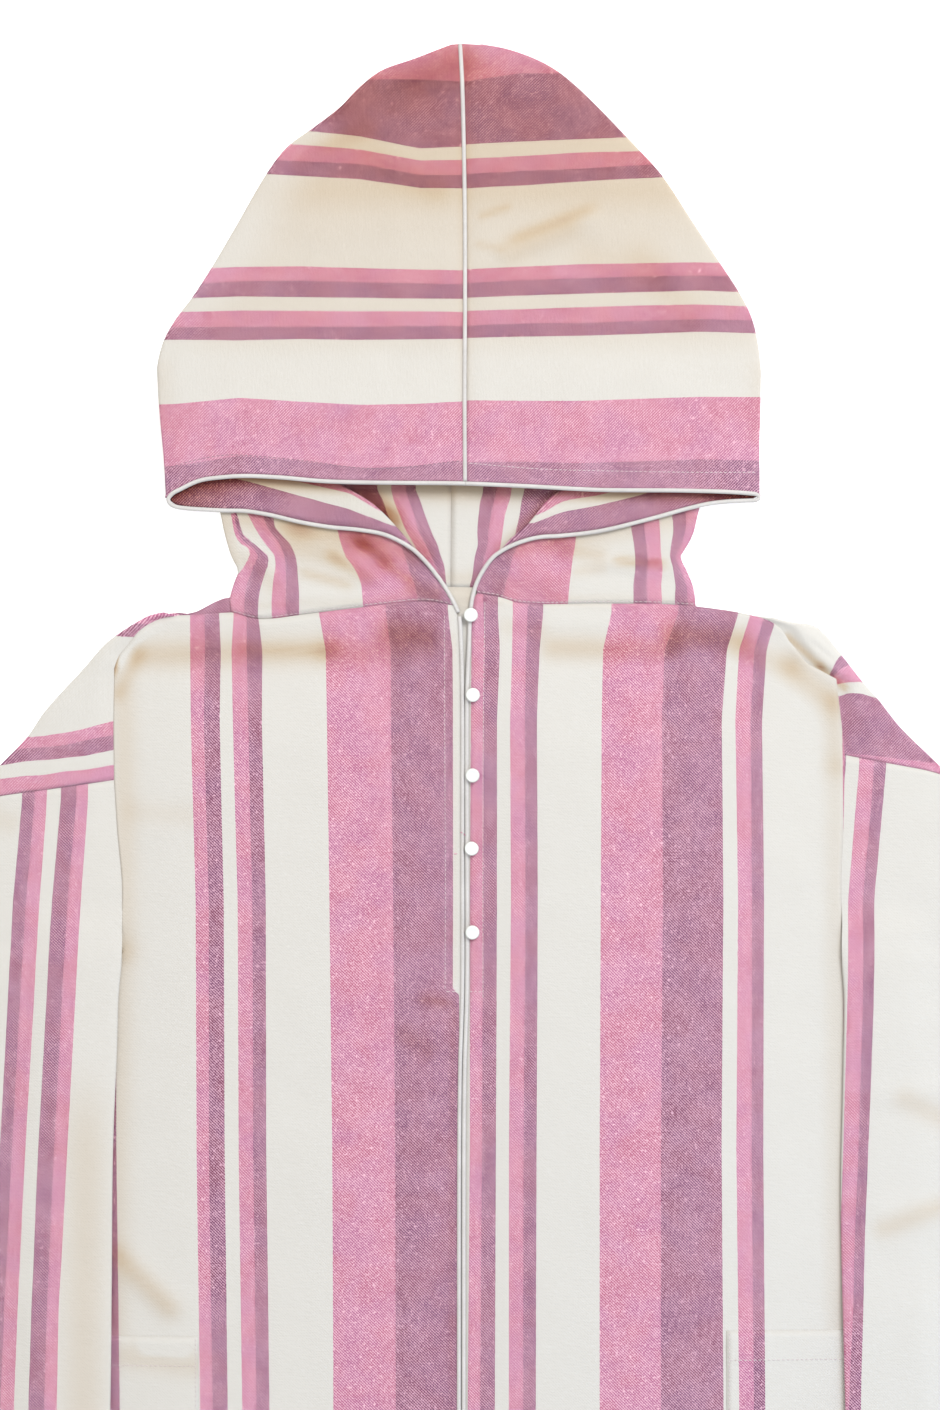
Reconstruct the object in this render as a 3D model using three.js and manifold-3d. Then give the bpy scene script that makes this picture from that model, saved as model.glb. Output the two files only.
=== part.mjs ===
// A hooded maxi tunic of striped brushed cotton, laid flat on its back with its hood spread out above the neck.
// Millimetres. +Z is up off the surface it lies on, +Y runs from the hem to the top of the hood, +X is to the
// right of someone looking down on its front. The origin is on the surface, under the middle of the whole length.
import * as THREE from "three";
import { mergeVertices } from "three/addons/utils/BufferGeometryUtils.js";
import Module from "manifold-3d";

const wasm = await Module();
wasm.setup();

// ---------------------------------------------------------------- driving dimensions
const HOOD_TOP = 382; // from the neck line up to the top of the hood
const HEM = -1300; // from the neck line down to the hem
const CLOTH = 1.4; // thickness of the brushed cotton
const LAYER = 1.8; // from the middle of one layer to the middle of the next one lying on it
const SEAM_GAP = 0.3; // left between two pieces that are sewn together
const CORD_RADIUS = 1.5; // piping cord
const PIPED_EDGE = CORD_RADIUS + 0.4; // from the middle of a cord to the cut edge beside it
const CORD_RIDE = 0.75; // how far the middle of a face cord is above the middle of the cloth beside it
const UNDERARM = -241; // height of the underarm point
const CUFF = -620; // height of the sleeve ends
const SLIT_END = -260; // bottom of the open neck slit
const BUTTON_RADIUS = 4.8;
const BUTTON_THICK = 2.4;
const SHANK = 1.3; // from the cloth up to the underside of a button
const SHANK_ASIDE = 2.9; // from the middle of a button to its shank
const POCKET_DEPTH = 165;

// Heights of the middle of the cloth, layer by layer, up from the surface.
const LEVEL = [0, 1, 2, 3].map((k) => CLOTH / 2 + k * LAYER);

// ---------------------------------------------------------------- tables, one row for each section
// Outer folds of the hood, from the tips of its face opening up to the top.
const HOOD_SECTIONS = [
  { y: 72, left: -202.6, right: 199.6 },
  { y: 90, left: -203.5, right: 199.6 },
  { y: 106, left: -204.7, right: 199.4 },
  { y: 135, left: -207.4, right: 200.3 },
  { y: 162, left: -208.8, right: 200.6 },
  { y: 179, left: -204.7, right: 198.5 },
  { y: 195, left: -195.8, right: 194.6 },
  { y: 209, left: -185, right: 188 },
  { y: 230, left: -171.4, right: 174.6 },
  { y: 259, left: -154.4, right: 155.3 },
  { y: 292, left: -135.3, right: 133.5 },
  { y: 311, left: -121, right: 116.5 },
  { y: 325, left: -102, right: 103 },
  { y: 338, left: -85, right: 90.5 },
  { y: 352, left: -71.4, right: 76 },
  { y: 363, left: -57.1, right: 62.5 },
  { y: 371, left: -35, right: 48 },
  { y: 378, left: -17, right: 28 },
  { y: 381, left: -9, right: 12 },
];

// The piped seam over the top of the hood.
const HOOD_SEAM = [
  { y: 82, x: 0 },
  { y: 145, x: -0.3 },
  { y: 203, x: 0 },
  { y: 282, x: -0.3 },
  { y: 356, x: -2 },
  { y: HOOD_TOP - 0.1, x: -3.4 },
];

// The middle of the face opening's piping: its upper run from the seam out to the tip, and its lower run back in.
const FACE_UPPER = {
  left: [
    { x: 0, y: 82.3 },
    { x: -91.8, y: 83.6 },
    { x: -125.8, y: 86.4 },
    { x: -149.6, y: 87.4 },
    { x: -163.2, y: 86.7 },
    { x: -180.2, y: 84.3 },
    { x: -193.8, y: 78.2 },
    { x: -202.8, y: 72 },
  ],
  right: [
    { x: 0, y: 82.3 },
    { x: 40, y: 80.5 },
    { x: 91.8, y: 77.9 },
    { x: 146.2, y: 77.5 },
    { x: 180, y: 76.6 },
    { x: 194, y: 75.6 },
    { x: 200.6, y: 73.2 },
  ],
};
const FACE_LOWER = {
  left: [
    { x: -202.8, y: 72 },
    { x: -195.8, y: 66.5 },
    { x: -165.2, y: 64.3 },
    { x: -149.6, y: 63.9 },
    { x: -132.6, y: 61.2 },
    { x: -112.2, y: 56.4 },
    { x: -91.8, y: 53 },
    { x: -71.4, y: 51 },
    { x: -54, y: 47.6 },
    { x: -36, y: 38.2 },
  ],
  right: [
    { x: 200.6, y: 73.2 },
    { x: 194, y: 70.9 },
    { x: 180, y: 70.4 },
    { x: 166.6, y: 69 },
    { x: 153, y: 66 },
    { x: 125.8, y: 58.5 },
    { x: 91.8, y: 50.3 },
    { x: 64.6, y: 47 },
    { x: 50, y: 46 },
    { x: 37, y: 42.5 },
    { x: 26.5, y: 37.7 },
  ],
};
// From where the rolled flap ends on the piping, down the neck's own edge to the top of the slit.
const NECK_EDGE = {
  left: [
    { x: -36, y: 38.2 },
    { x: -25.4, y: 27.9 },
    { x: -15.9, y: 15.6 },
    { x: -9, y: 4.4 },
    { x: -4.6, y: -4 },
  ],
  right: [
    { x: 26.5, y: 37.7 },
    { x: 18.8, y: 32.1 },
    { x: 11.8, y: 22.6 },
    { x: 7.5, y: 13.9 },
    { x: 4.9, y: 4.4 },
    { x: 3.6, y: -4 },
  ],
};

// Where the cheek of the hood rolls over: the roll's line from the piping out to the fold it runs into.
const CHEEK_ROLL = {
  left: [
    { x: -36, y: 40 },
    { x: -51.7, y: 57.8 },
    { x: -62.6, y: 68 },
    { x: -81.6, y: 79.6 },
    { x: -105, y: 92 },
    { x: -146, y: 119 },
    { x: -207, y: 157 },
  ],
  right: [
    { x: 25, y: 39.5 },
    { x: 44.9, y: 56.4 },
    { x: 53.7, y: 68 },
    { x: 61.9, y: 75.5 },
    { x: 85, y: 86.4 },
    { x: 132.6, y: 112.2 },
    { x: 200.6, y: 157 },
  ],
};
// The neck's side fold, from the neck seam up to the same place.
const NECK_FOLD = {
  left: [
    { x: -158.4, y: -5 },
    { x: -159.5, y: 3.4 },
    { x: -156.4, y: 15.6 },
    { x: -153.7, y: 23.1 },
    { x: -158.4, y: 33.3 },
    { x: -163.2, y: 49.6 },
    { x: -166, y: 63.2 },
    { x: -171, y: 79 },
    { x: -186, y: 115 },
    { x: -207, y: 157 },
  ],
  right: [
    { x: 156.4, y: -0.7 },
    { x: 155, y: 11.6 },
    { x: 149.6, y: 25 },
    { x: 146.2, y: 32.6 },
    { x: 150.3, y: 40 },
    { x: 154.4, y: 47.6 },
    { x: 159.1, y: 66.6 },
    { x: 164, y: 82 },
    { x: 180, y: 115 },
    { x: 200.6, y: 157 },
  ],
};
// Height at which both run into the hood's outer fold.
const PLEAT_END = 157;

// Front neck seam, from the slit out to the side fold.
const NECK_SEAM = {
  left: [
    { x: -8.4, y: -0.2 },
    { x: -27.2, y: 2.7 },
    { x: -57.8, y: 0 },
    { x: -91.8, y: -4.1 },
    { x: -112.2, y: -6.8 },
    { x: -140.8, y: -9.5 },
    { x: -158.4, y: -5 },
  ],
  right: [
    { x: 8.4, y: 8 },
    { x: 23.8, y: 5.4 },
    { x: 37.4, y: 1.4 },
    { x: 91.8, y: 1 },
    { x: 132.6, y: 0.7 },
    { x: 156.4, y: -0.7 },
  ],
};
// Back neck seam, from the centre back out to the side folds.
const BACK_NECK = {
  left: [
    { x: -10, y: 12.5 },
    { x: -60, y: 9.5 },
    { x: -115, y: 3 },
    { x: -158.4, y: -5 },
  ],
  right: [
    { x: -10, y: 12.5 },
    { x: 50, y: 10.5 },
    { x: 110, y: 5 },
    { x: 156.4, y: -0.7 },
  ],
};
// Centre back seam of the hood.
const HOOD_BACK_SEAM = [
  { x: -10, y: 12.5 },
  { x: -9, y: 120 },
  { x: -6, y: 280 },
  { x: -3.4, y: HOOD_TOP - 0.1 },
];

// Shoulder edge of the front, from the neck out to the top of the armhole.
const SHOULDER = {
  left: [
    { x: -158.4, y: -5 },
    { x: -187, y: -6.8 },
    { x: -201, y: -7.6 },
    { x: -211, y: -10.6 },
    { x: -221, y: -17 },
    { x: -228.5, y: -25.8 },
    { x: -235, y: -34 },
    { x: -238.5, y: -43 },
  ],
  right: [
    { x: 156.4, y: -0.7 },
    { x: 185, y: -4.8 },
    { x: 206, y: -10.4 },
    { x: 215.5, y: -16.5 },
    { x: 220, y: -23.8 },
    { x: 226, y: -31 },
    { x: 232, y: -38.8 },
    { x: 241, y: -44 },
    { x: 252.5, y: -50 },
  ],
};
// Armhole seam beside the upper sleeve, from the shoulder down to the sleeve seam.
const ARMHOLE_UPPER = {
  left: [
    { x: -238.5, y: -43 },
    { x: -239, y: -80 },
    { x: -238.6, y: -119 },
  ],
  right: [
    { x: 252.5, y: -50 },
    { x: 255.5, y: -75 },
    { x: 258.4, y: -102 },
  ],
};
// Armhole seam beside the lower sleeve, from the sleeve seam down to the underarm.
const ARMHOLE_LOWER = {
  left: [
    { x: -238.6, y: -119 },
    { x: -236.6, y: -153 },
    { x: -232.4, y: -200 },
    { x: -232, y: UNDERARM },
  ],
  right: [
    { x: 258.4, y: -102 },
    { x: 257.5, y: -150 },
    { x: 255.8, y: -200 },
    { x: 255.3, y: UNDERARM },
  ],
};
// Side seam of the body under the sleeve, from the underarm down to the hem.
const SIDE_SEAM = {
  left: [
    { x: -232, y: UNDERARM },
    { x: -243, y: -250 },
    { x: -258, y: -268 },
    { x: -265, y: -320 },
    { x: -278, y: -700 },
    { x: -300, y: HEM },
  ],
  right: [
    { x: 255.3, y: UNDERARM },
    { x: 266, y: -250 },
    { x: 280, y: -268 },
    { x: 286, y: -320 },
    { x: 297, y: -700 },
    { x: 315, y: HEM },
  ],
};
// Middle of each cord beside the slit and down the centre front seam.
const FRONT_CORDS = [
  { y: -5, left: -4.5, right: 3.6 },
  { y: -25, left: -2.9, right: 3 },
  { y: -60, left: -2.1, right: 1.7 },
  { y: -160, left: -2, right: 1.5 },
  { y: SLIT_END, left: -1.9, right: 1.4 },
  { y: -323, left: -3.6, right: -0.3 },
  { y: -560, left: -4.2, right: -0.9 },
  { y: HEM, left: -4.2, right: -0.9 },
];

// Outer fold of the upper sleeve, from the shoulder down to the sleeve seam.
const UPPER_SLEEVE_FOLD = {
  left: [
    { x: -205, y: -5.5 },
    { x: -214, y: -7.4 },
    { x: -222, y: -11.5 },
    { x: -236, y: -20.4 },
    { x: -244.8, y: -27.2 },
    { x: -258.4, y: -42.8 },
    { x: -285.6, y: -72.8 },
    { x: -297.2, y: -89.8 },
    { x: -316.2, y: -109.5 },
    { x: -342, y: -135 },
  ],
  right: [
    { x: 209, y: -9 },
    { x: 218, y: -11.4 },
    { x: 227.8, y: -12.9 },
    { x: 237, y: -14.2 },
    { x: 244.8, y: -20.4 },
    { x: 253, y: -30.6 },
    { x: 270, y: -52.4 },
    { x: 280.2, y: -63.9 },
    { x: 295.8, y: -83.6 },
    { x: 319.6, y: -106.8 },
    { x: 332, y: -119 },
  ],
};
// Seam between the upper and the lower sleeve, from the armhole out.
const SLEEVE_SEAM = {
  left: [
    { x: -238.6, y: -119 },
    { x: -280, y: -125 },
    { x: -316.2, y: -130 },
    { x: -342, y: -135 },
  ],
  right: [
    { x: 258.4, y: -102 },
    { x: 290, y: -108 },
    { x: 319.6, y: -114 },
    { x: 332, y: -119 },
  ],
};
// Outer fold of the lower sleeve, from the sleeve seam down to the cuff.
const LOWER_SLEEVE_FOLD = {
  left: [
    { x: -342, y: -135 },
    { x: -358, y: -152 },
    { x: -371, y: -176 },
    { x: -377, y: -215 },
    { x: -383, y: -330 },
    { x: -395, y: CUFF },
  ],
  right: [
    { x: 332, y: -119 },
    { x: 354, y: -143 },
    { x: 371, y: -172 },
    { x: 379, y: -215 },
    { x: 385, y: -330 },
    { x: 395, y: CUFF },
  ],
};
// Inner fold of the lower sleeve where it lies over the body, from the underarm down to the cuff.
const UNDERARM_FOLD = {
  left: [
    { x: -232, y: UNDERARM },
    { x: -235.3, y: -296 },
    { x: -239.2, y: -371 },
    { x: -240.5, y: -511 },
    { x: -243, y: CUFF },
  ],
  right: [
    { x: 255.3, y: UNDERARM },
    { x: 255, y: -330 },
    { x: 255, y: -405 },
    { x: 258.7, y: -547 },
    { x: 261, y: CUFF },
  ],
};

const BUTTONS = [
  { x: 3.9, y: -6.8 },
  { x: 5.3, y: -61.2 },
  { x: 5.1, y: -115.9 },
  { x: 4.5, y: -165.6 },
  { x: 5, y: -222.6 },
];
const POCKETS = { left: { x: -181, top: -497 }, right: { x: 177.5, top: -493 } };

// Soft rises and troughs of the front: a ridge line from (x, y) to (x2, y2), how far it reaches, and its height.
const FRONT_FOLDS = [
  { x: -230, y: -30, x2: 235, y2: -32, reach: 17, rise: -0.9 },
  { x: -215, y: -12, x2: 210, y2: -14, reach: 8, rise: 0.5 },
  { x: -236, y: -442, x2: -190, y2: -485, reach: 9, rise: 0.5 },
  { x: -48, y: -309, x2: -6, y2: -270, reach: 10, rise: -0.3 },
];

// ---------------------------------------------------------------- helpers
const mix = (a, b, f) => a + (b - a) * f;
const SIDES = ["left", "right"];
// Turns the seams of the left half, which run outwards, into those of the right half.
const HAND = { left: 1, right: -1 };

function ease(from, to, value) {
  const f = Math.min(1, Math.max(0, (value - from) / (to - from)));
  return f * f * (3 - 2 * f);
}

const column = (rows, name) => rows.map((row) => ({ x: row[name], y: row.y }));
const reversed = (rows) => [...rows].reverse();

// Points along a smooth plan curve through a table's rows, the same distance apart.
function run(rows, pieces, from = 0, to = 1) {
  const line = new THREE.CatmullRomCurve3(
    rows.map((row) => new THREE.Vector3(row.x, row.y, row.z ?? 0)),
    false,
    "centripetal",
  );
  return Array.from({ length: pieces + 1 }, (_, k) => line.getPointAt(mix(from, to, k / pieces)));
}

// Runs of points joined end to end, each starting where the last one ends.
const chain = (first, ...rest) => rest.reduce((points, next) => [...points, ...next.slice(1)], first);

// The same points moved sideways in plan, to the left of their own direction.
function beside(points, distance) {
  return points.map((point, k) => {
    const before = points[Math.max(0, k - 1)];
    const after = points[Math.min(points.length - 1, k + 1)];
    const way = new THREE.Vector3().subVectors(after, before).normalize();
    const away = typeof distance === "function" ? distance(k) : distance;
    return new THREE.Vector3(point.x - way.y * away, point.y + way.x * away, 0);
  });
}

// A place on a run of points, counted in shares of its points rather than of its length.
function on(points, share) {
  const k = Math.min(points.length - 2, Math.floor(share * (points.length - 1)));
  return new THREE.Vector3().lerpVectors(points[k], points[k + 1], share * (points.length - 1) - k);
}

// Where a run of points crosses a height.
function acrossAt(points, y) {
  for (let k = 1; k < points.length; k++) {
    const [a, b] = [points[k - 1], points[k]];
    if ((a.y - y) * (b.y - y) <= 0 && a.y !== b.y) {
      return mix(a.x, b.x, (a.y - y) / (a.y - b.y));
    }
  }
  return points.at(-1).x;
}

// Height given by the soft folds of a table at a place.
function folds(table, x, y) {
  let height = 0;
  for (const fold of table) {
    const dx = fold.x2 - fold.x;
    const dy = fold.y2 - fold.y;
    const f = ((x - fold.x) * dx + (y - fold.y) * dy) / (dx * dx + dy * dy);
    const held = Math.min(1, Math.max(0, f));
    const away = Math.hypot(x - fold.x - held * dx, y - fold.y - held * dy);
    height += fold.rise * Math.exp(-((away / fold.reach) ** 2));
  }
  return height;
}

// One layer of cloth as rows of points on its middle surface. Its rows run from the points of near to those of
// far; first and last are the points of its first and last row, where these aren't straight. A fold says how the
// cloth turns a quarter circle at that edge to meet the next layer: the heights of both layers, whether this is
// the upper one, how far the fold is shut (0 leaves the edge flat), and how far it stops short of meeting.
const TURN = [0, 42, 90].map((degrees) => (degrees * Math.PI) / 180);
const LAP = 0.2; // angle by which two layers of one piece lap inside a fold

function edgePoints(fold, row, lap) {
  const joint = fold?.(row);
  if (!joint) {
    return [{ inset: 0 }];
  }
  const { high, low, up, shut = 1, short = 0 } = joint;
  const radius = (high - low) / 2;
  const way = up ? 1 : -1;
  return TURN.map((angle, k) => {
    const turned = k === 0 ? short - lap : angle;
    const round = (high + low) / 2 + way * radius * Math.sin(turned);
    const inset = mix(SEAM_GAP * k, radius * (1 - Math.cos(turned)), shut);
    return { inset, z: mix(up ? high : low, round, shut) };
  });
}

function layer({ near, far, first, last, columns, height, foldNear, foldFar, lap = 0, lift = () => 0 }) {
  const rows = near.length - 1;
  const start = first ?? [near[0], far[0]];
  const end = last ?? [near[rows], far[rows]];
  const pieces = first ? first.length - 1 : columns;
  const a = [start[0], ...near.slice(1, -1), end[0]];
  const b = [start.at(-1), ...far.slice(1, -1), end.at(-1)];

  return a.map((_, k) => {
    const f = k / rows;
    const width = a[k].distanceTo(b[k]);
    const nearEdge = edgePoints(foldNear, k, lap).map(({ inset, z }) => ({ u: inset / width, z }));
    const farEdge = edgePoints(foldFar, k, lap).map(({ inset, z }) => ({ u: 1 - inset / width, z }));
    const middle = Array.from({ length: pieces - 1 }, (__, i) => ({ u: (i + 1) / pieces }));
    return [...nearEdge, ...middle, ...farEdge.reverse()].map(({ u, z }) => {
      const [s, e] = [on(start, u), on(end, u)];
      const blend = (axis) =>
        mix(a[k][axis], b[k][axis], u) + mix(s[axis], e[axis], f) -
        mix(mix(a[0][axis], b[0][axis], u), mix(a[rows][axis], b[rows][axis], u), f);
      const [x, y] = [blend("x"), blend("y")];
      return new THREE.Vector3(x, y, (z ?? height(x, y)) + lift(x, y));
    });
  });
}

// A closed wall of cloth round rows of points on its middle surface. Nothing goes below the surface it lies on.
function wall(grid, thickness = CLOTH) {
  const rows = grid.length;
  const columns = grid[0].length;
  const count = rows * columns;
  const at = (j, i) => grid[Math.min(rows - 1, Math.max(0, j))][Math.min(columns - 1, Math.max(0, i))];
  const skins = [[], []];
  for (let j = 0; j < rows; j++) {
    for (let i = 0; i < columns; i++) {
      const along = new THREE.Vector3().subVectors(at(j + 1, i), at(j - 1, i));
      const before = new THREE.Vector3().subVectors(at(j, i), at(j, i - 1)).normalize();
      const after = new THREE.Vector3().subVectors(at(j, i + 1), at(j, i)).normalize();
      const normal = new THREE.Vector3().crossVectors(before.add(after), along).normalize();
      skins.forEach((skin, k) => {
        const point = at(j, i).clone().addScaledVector(normal, (0.5 - k) * thickness);
        skin.push(point.x, point.y, Math.max(0, point.z));
      });
    }
  }
  const index = [];
  const quad = (a, b, c, d) => index.push(a, b, c, a, c, d);
  for (let j = 0; j < rows - 1; j++) {
    for (let i = 0; i < columns - 1; i++) {
      const a = j * columns + i;
      quad(a, a + 1, a + columns + 1, a + columns);
      quad(count + a, count + a + columns, count + a + columns + 1, count + a + 1);
    }
  }
  const rim = [
    ...Array.from({ length: columns }, (_, i) => i),
    ...Array.from({ length: rows - 1 }, (_, j) => (j + 2) * columns - 1),
    ...Array.from({ length: columns - 1 }, (_, i) => rows * columns - 2 - i),
    ...Array.from({ length: rows - 2 }, (_, j) => (rows - 2 - j) * columns),
  ];
  rim.forEach((a, k) => {
    const b = rim[(k + 1) % rim.length];
    quad(a, count + a, count + b, b);
  });
  return facingOut(new THREE.BufferGeometry()
    .setAttribute("position", new THREE.Float32BufferAttribute(skins.flat(), 3))
    .setIndex(index));
}

function facingOut(geometry) {
  const p = geometry.attributes.position;
  const index = geometry.index.array;
  const [a, b, c] = [new THREE.Vector3(), new THREE.Vector3(), new THREE.Vector3()];
  let volume = 0;
  for (let k = 0; k < index.length; k += 3) {
    a.fromBufferAttribute(p, index[k]);
    b.fromBufferAttribute(p, index[k + 1]);
    c.fromBufferAttribute(p, index[k + 2]);
    volume += a.dot(b.cross(c));
  }
  if (volume < 0) {
    for (let k = 0; k < index.length; k += 3) {
      [index[k + 1], index[k + 2]] = [index[k + 2], index[k + 1]];
    }
  }
  return geometry;
}

function solid(geometry) {
  const bare = new THREE.BufferGeometry().setAttribute("position", geometry.attributes.position);
  bare.setIndex(geometry.index);
  const merged = mergeVertices(bare, 1e-4);
  return new wasm.Manifold(new wasm.Mesh({
    numProp: 3,
    vertProperties: new Float32Array(merged.attributes.position.array),
    triVerts: new Uint32Array(merged.index.array),
  }));
}

// Layers of one piece, joined where their folds lap. A pinhole left inside a lap is closed.
function joined(geometries) {
  const bodies = geometries.map(solid).reduce((a, b) => a.add(b)).decompose();
  const mesh = bodies.reduce((a, b) => (a.volume() > b.volume() ? a : b)).getMesh();
  return new THREE.BufferGeometry()
    .setAttribute("position", new THREE.BufferAttribute(mesh.vertProperties, 3))
    .setIndex(new THREE.BufferAttribute(mesh.triVerts, 1));
}

// A round cord through points, closed at both ends.
function cord(points, sides = 6) {
  const vertices = [];
  points.forEach((point, k) => {
    const before = points[Math.max(0, k - 1)];
    const after = points[Math.min(points.length - 1, k + 1)];
    const way = new THREE.Vector3().subVectors(after, before).normalize();
    const across = new THREE.Vector3(-way.y, way.x, 0).normalize();
    const upward = new THREE.Vector3().crossVectors(way, across);
    for (let i = 0; i < sides; i++) {
      const angle = (2 * Math.PI * i) / sides;
      const corner = new THREE.Vector3(point.x, point.y, point.z)
        .addScaledVector(across, CORD_RADIUS * Math.cos(angle))
        .addScaledVector(upward, CORD_RADIUS * Math.sin(angle));
      vertices.push(corner.x, corner.y, corner.z);
    }
  });
  const index = [];
  for (let k = 0; k < points.length - 1; k++) {
    for (let i = 0; i < sides; i++) {
      const [a, b] = [k * sides + i, k * sides + ((i + 1) % sides)];
      index.push(a, b, b + sides, a, b + sides, a + sides);
    }
  }
  const end = (points.length - 1) * sides;
  for (let i = 1; i < sides - 1; i++) {
    index.push(0, i + 1, i, end, end + i, end + i + 1);
  }
  return facingOut(new THREE.BufferGeometry()
    .setAttribute("position", new THREE.Float32BufferAttribute(vertices, 3))
    .setIndex(index));
}

// ---------------------------------------------------------------- cloth and trim
const tunic = new THREE.Group();
tunic.position.set(0, -(HOOD_TOP + HEM) / 2, 0);

const CREAM = 0xe6e2da;
const PINK = 0xdd9fb8;
const PURPLE = 0xbd8ea6;
const TRIM = 0xe0dcd6;

function add(name, geometry, color, roughness = 0.9) {
  const mesh = new THREE.Mesh(geometry, new THREE.MeshStandardMaterial({ color, roughness, metalness: 0 }));
  mesh.name = name;
  tunic.add(mesh);
  return mesh;
}

// ---------------------------------------------------------------- shared seams
// Each seam's points are worked out once, so that the pieces on both sides of it have the same edge.
function seams(side) {
  const neck = run(NECK_SEAM[side], 6);
  const shoulder = run(SHOULDER[side], 8);
  const upperArmhole = run(ARMHOLE_UPPER[side], 4);
  const lowerArmhole = run(ARMHOLE_LOWER[side], 5);
  const sideSeam = chain(run(SIDE_SEAM[side].slice(0, 4), 3), run(SIDE_SEAM[side].slice(3), 5));
  const bodySide = chain(upperArmhole, lowerArmhole, sideSeam);
  const drop = neck[0].y - bodySide[0].y; // the middle of the front starts this much higher than its side
  const cords = run([...NECK_EDGE[side].slice(-3, -1), ...column(FRONT_CORDS, side)], 80);
  const middle = bodySide.map((point, k) => {
    const y = point.y + drop * (1 - ease(0, 12, k));
    return new THREE.Vector3(acrossAt(cords, y), y, 0);
  });
  return {
    neck,
    shoulder,
    upperArmhole,
    lowerArmhole,
    sideSeam,
    backNeck: run(BACK_NECK[side], 4),
    sleeve: run(SLEEVE_SEAM[side], 6),
    bodySide,
    middle,
  };
}
const SEAMS = { left: seams("left"), right: seams("right") };

// The piping round the face opening, which the edges of the hood's layers run beside.
function faceRuns(side) {
  return {
    upper: run(FACE_UPPER[side], 8),
    lower: run(FACE_LOWER[side], 8),
    neck: run(NECK_EDGE[side], 5),
  };
}
const FACE_RUNS = { left: faceRuns("left"), right: faceRuns("right") };

// ---------------------------------------------------------------- hood
// The hood's top layer lies highest over the rolled cheeks, sags between them, and thins to a fold at the top.
function hoodTop(x, y) {
  const body = mix(LEVEL[3], 4.3, ease(130, 200, y));
  const thin = -1.2 * ease(220, 375, y);
  const sag = -0.9 * Math.exp(-((x / 70) ** 2)) * (1 - ease(150, 260, y));
  const crease = folds([{ x: 30, y: 238, x2: 80, y2: 261, reach: 6, rise: 0.4 }], x, y);
  return body + thin + sag + crease;
}

function hoodHalf(side) {
  const hand = HAND[side];
  const sides = run(column(HOOD_SECTIONS, side), 12);
  const above = ease.bind(null, PLEAT_END - 14, PLEAT_END + 14);

  const faceStart = new THREE.Vector3(-hand * PIPED_EDGE, FACE_UPPER[side][0].y, 0);
  const faceEdge = [faceStart, ...FACE_RUNS[side].upper.slice(1)];
  const top = layer({
    near: beside(run(HOOD_SEAM, 12), hand * PIPED_EDGE),
    far: sides,
    first: beside(faceEdge, -hand * PIPED_EDGE),
    height: hoodTop,
    foldFar(k) {
      const { x, y } = sides[k];
      return { high: hoodTop(x, y), low: mix(LEVEL[2], LEVEL[0], above(y)), up: true };
    },
    lap: LAP,
  });

  const outline = run([
    ...NECK_FOLD[side].slice(0, -1),
    ...column(HOOD_SECTIONS, side).filter((row) => row.y > PLEAT_END),
  ], 15);
  const back = layer({
    near: beside(run(HOOD_BACK_SEAM, 15), (hand * SEAM_GAP) / 2),
    far: outline,
    first: beside(SEAMS[side].backNeck, (-hand * SEAM_GAP) / 2),
    height: () => LEVEL[0],
    foldFar(k) {
      const { x, y } = outline[k];
      return { high: mix(LEVEL[1], hoodTop(x, y), above(y)), low: LEVEL[0], up: false };
    },
    lap: LAP,
  });

  const flapReach = 0.84;
  const flap = layer({
    near: run(CHEEK_ROLL[side], 6, 0, flapReach),
    far: run(column(HOOD_SECTIONS, side).filter((row) => row.y <= PLEAT_END + 6), 6, 0, flapReach),
    first: beside(reversed(FACE_RUNS[side].lower), -hand * PIPED_EDGE),
    height: () => LEVEL[2],
    foldNear: () => ({ high: LEVEL[2], low: LEVEL[1], up: true }),
    foldFar: () => ({ high: LEVEL[3], low: LEVEL[2], up: false }),
    lap: LAP,
  });

  const corner = SEAMS[side].neck[0];
  const piped = reversed(FACE_RUNS[side].neck).filter((point) => point.y > corner.y + 3);
  const edgeRows = piped.length;
  const edge = chain(
    [corner, ...beside(piped, hand * PIPED_EDGE)],
    run(CHEEK_ROLL[side], 7, 0, flapReach),
  );
  const neck = layer({
    near: edge,
    far: run(NECK_FOLD[side], edge.length - 1, 0, flapReach),
    first: beside(SEAMS[side].neck, (-hand * SEAM_GAP) / 2),
    height: () => LEVEL[1],
    foldNear: (k) => ({ high: LEVEL[2], low: LEVEL[1], up: false, shut: ease(edgeRows - 1, edgeRows, k) }),
    foldFar: () => ({ high: LEVEL[1], low: LEVEL[0], up: true }),
    lap: LAP,
  });
  return joined([wall(top), wall(back), wall(flap), wall(neck)]);
}

SIDES.forEach((side) => add(`hood_${side}`, hoodHalf(side), PINK));

// ---------------------------------------------------------------- body
// The front lies on the back, a little fuller in the middle of each half.
function frontHeight(x, y) {
  const away = Math.abs(x);
  const full = 1.1 * ease(-5, -45, y) * ease(0, 60, 250 - away) * ease(2, 40, away);
  return LEVEL[1] + Math.max(0, full + folds(FRONT_FOLDS, x, y) * ease(2, 30, away));
}

function frontHalf(side) {
  const hand = HAND[side];
  const { neck, shoulder, bodySide, middle } = SEAMS[side];
  return wall(layer({
    near: beside(middle, -hand * PIPED_EDGE),
    far: beside(bodySide, (hand * SEAM_GAP) / 2),
    first: beside(chain(neck, shoulder), (hand * SEAM_GAP) / 2),
    height: frontHeight,
  }));
}

SIDES.forEach((side) => add(`front_${side}`, frontHalf(side), side === "left" ? PINK : PURPLE));

function backPanel() {
  const { left, right } = SEAMS;
  return wall(layer({
    near: beside(left.bodySide, SEAM_GAP / 2),
    far: beside(right.bodySide, -SEAM_GAP / 2),
    first: beside(chain(reversed(left.shoulder), reversed(left.backNeck), right.backNeck, right.shoulder), -SEAM_GAP / 2),
    height: () => LEVEL[0],
  }));
}

add("back", backPanel(), CREAM);

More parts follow.
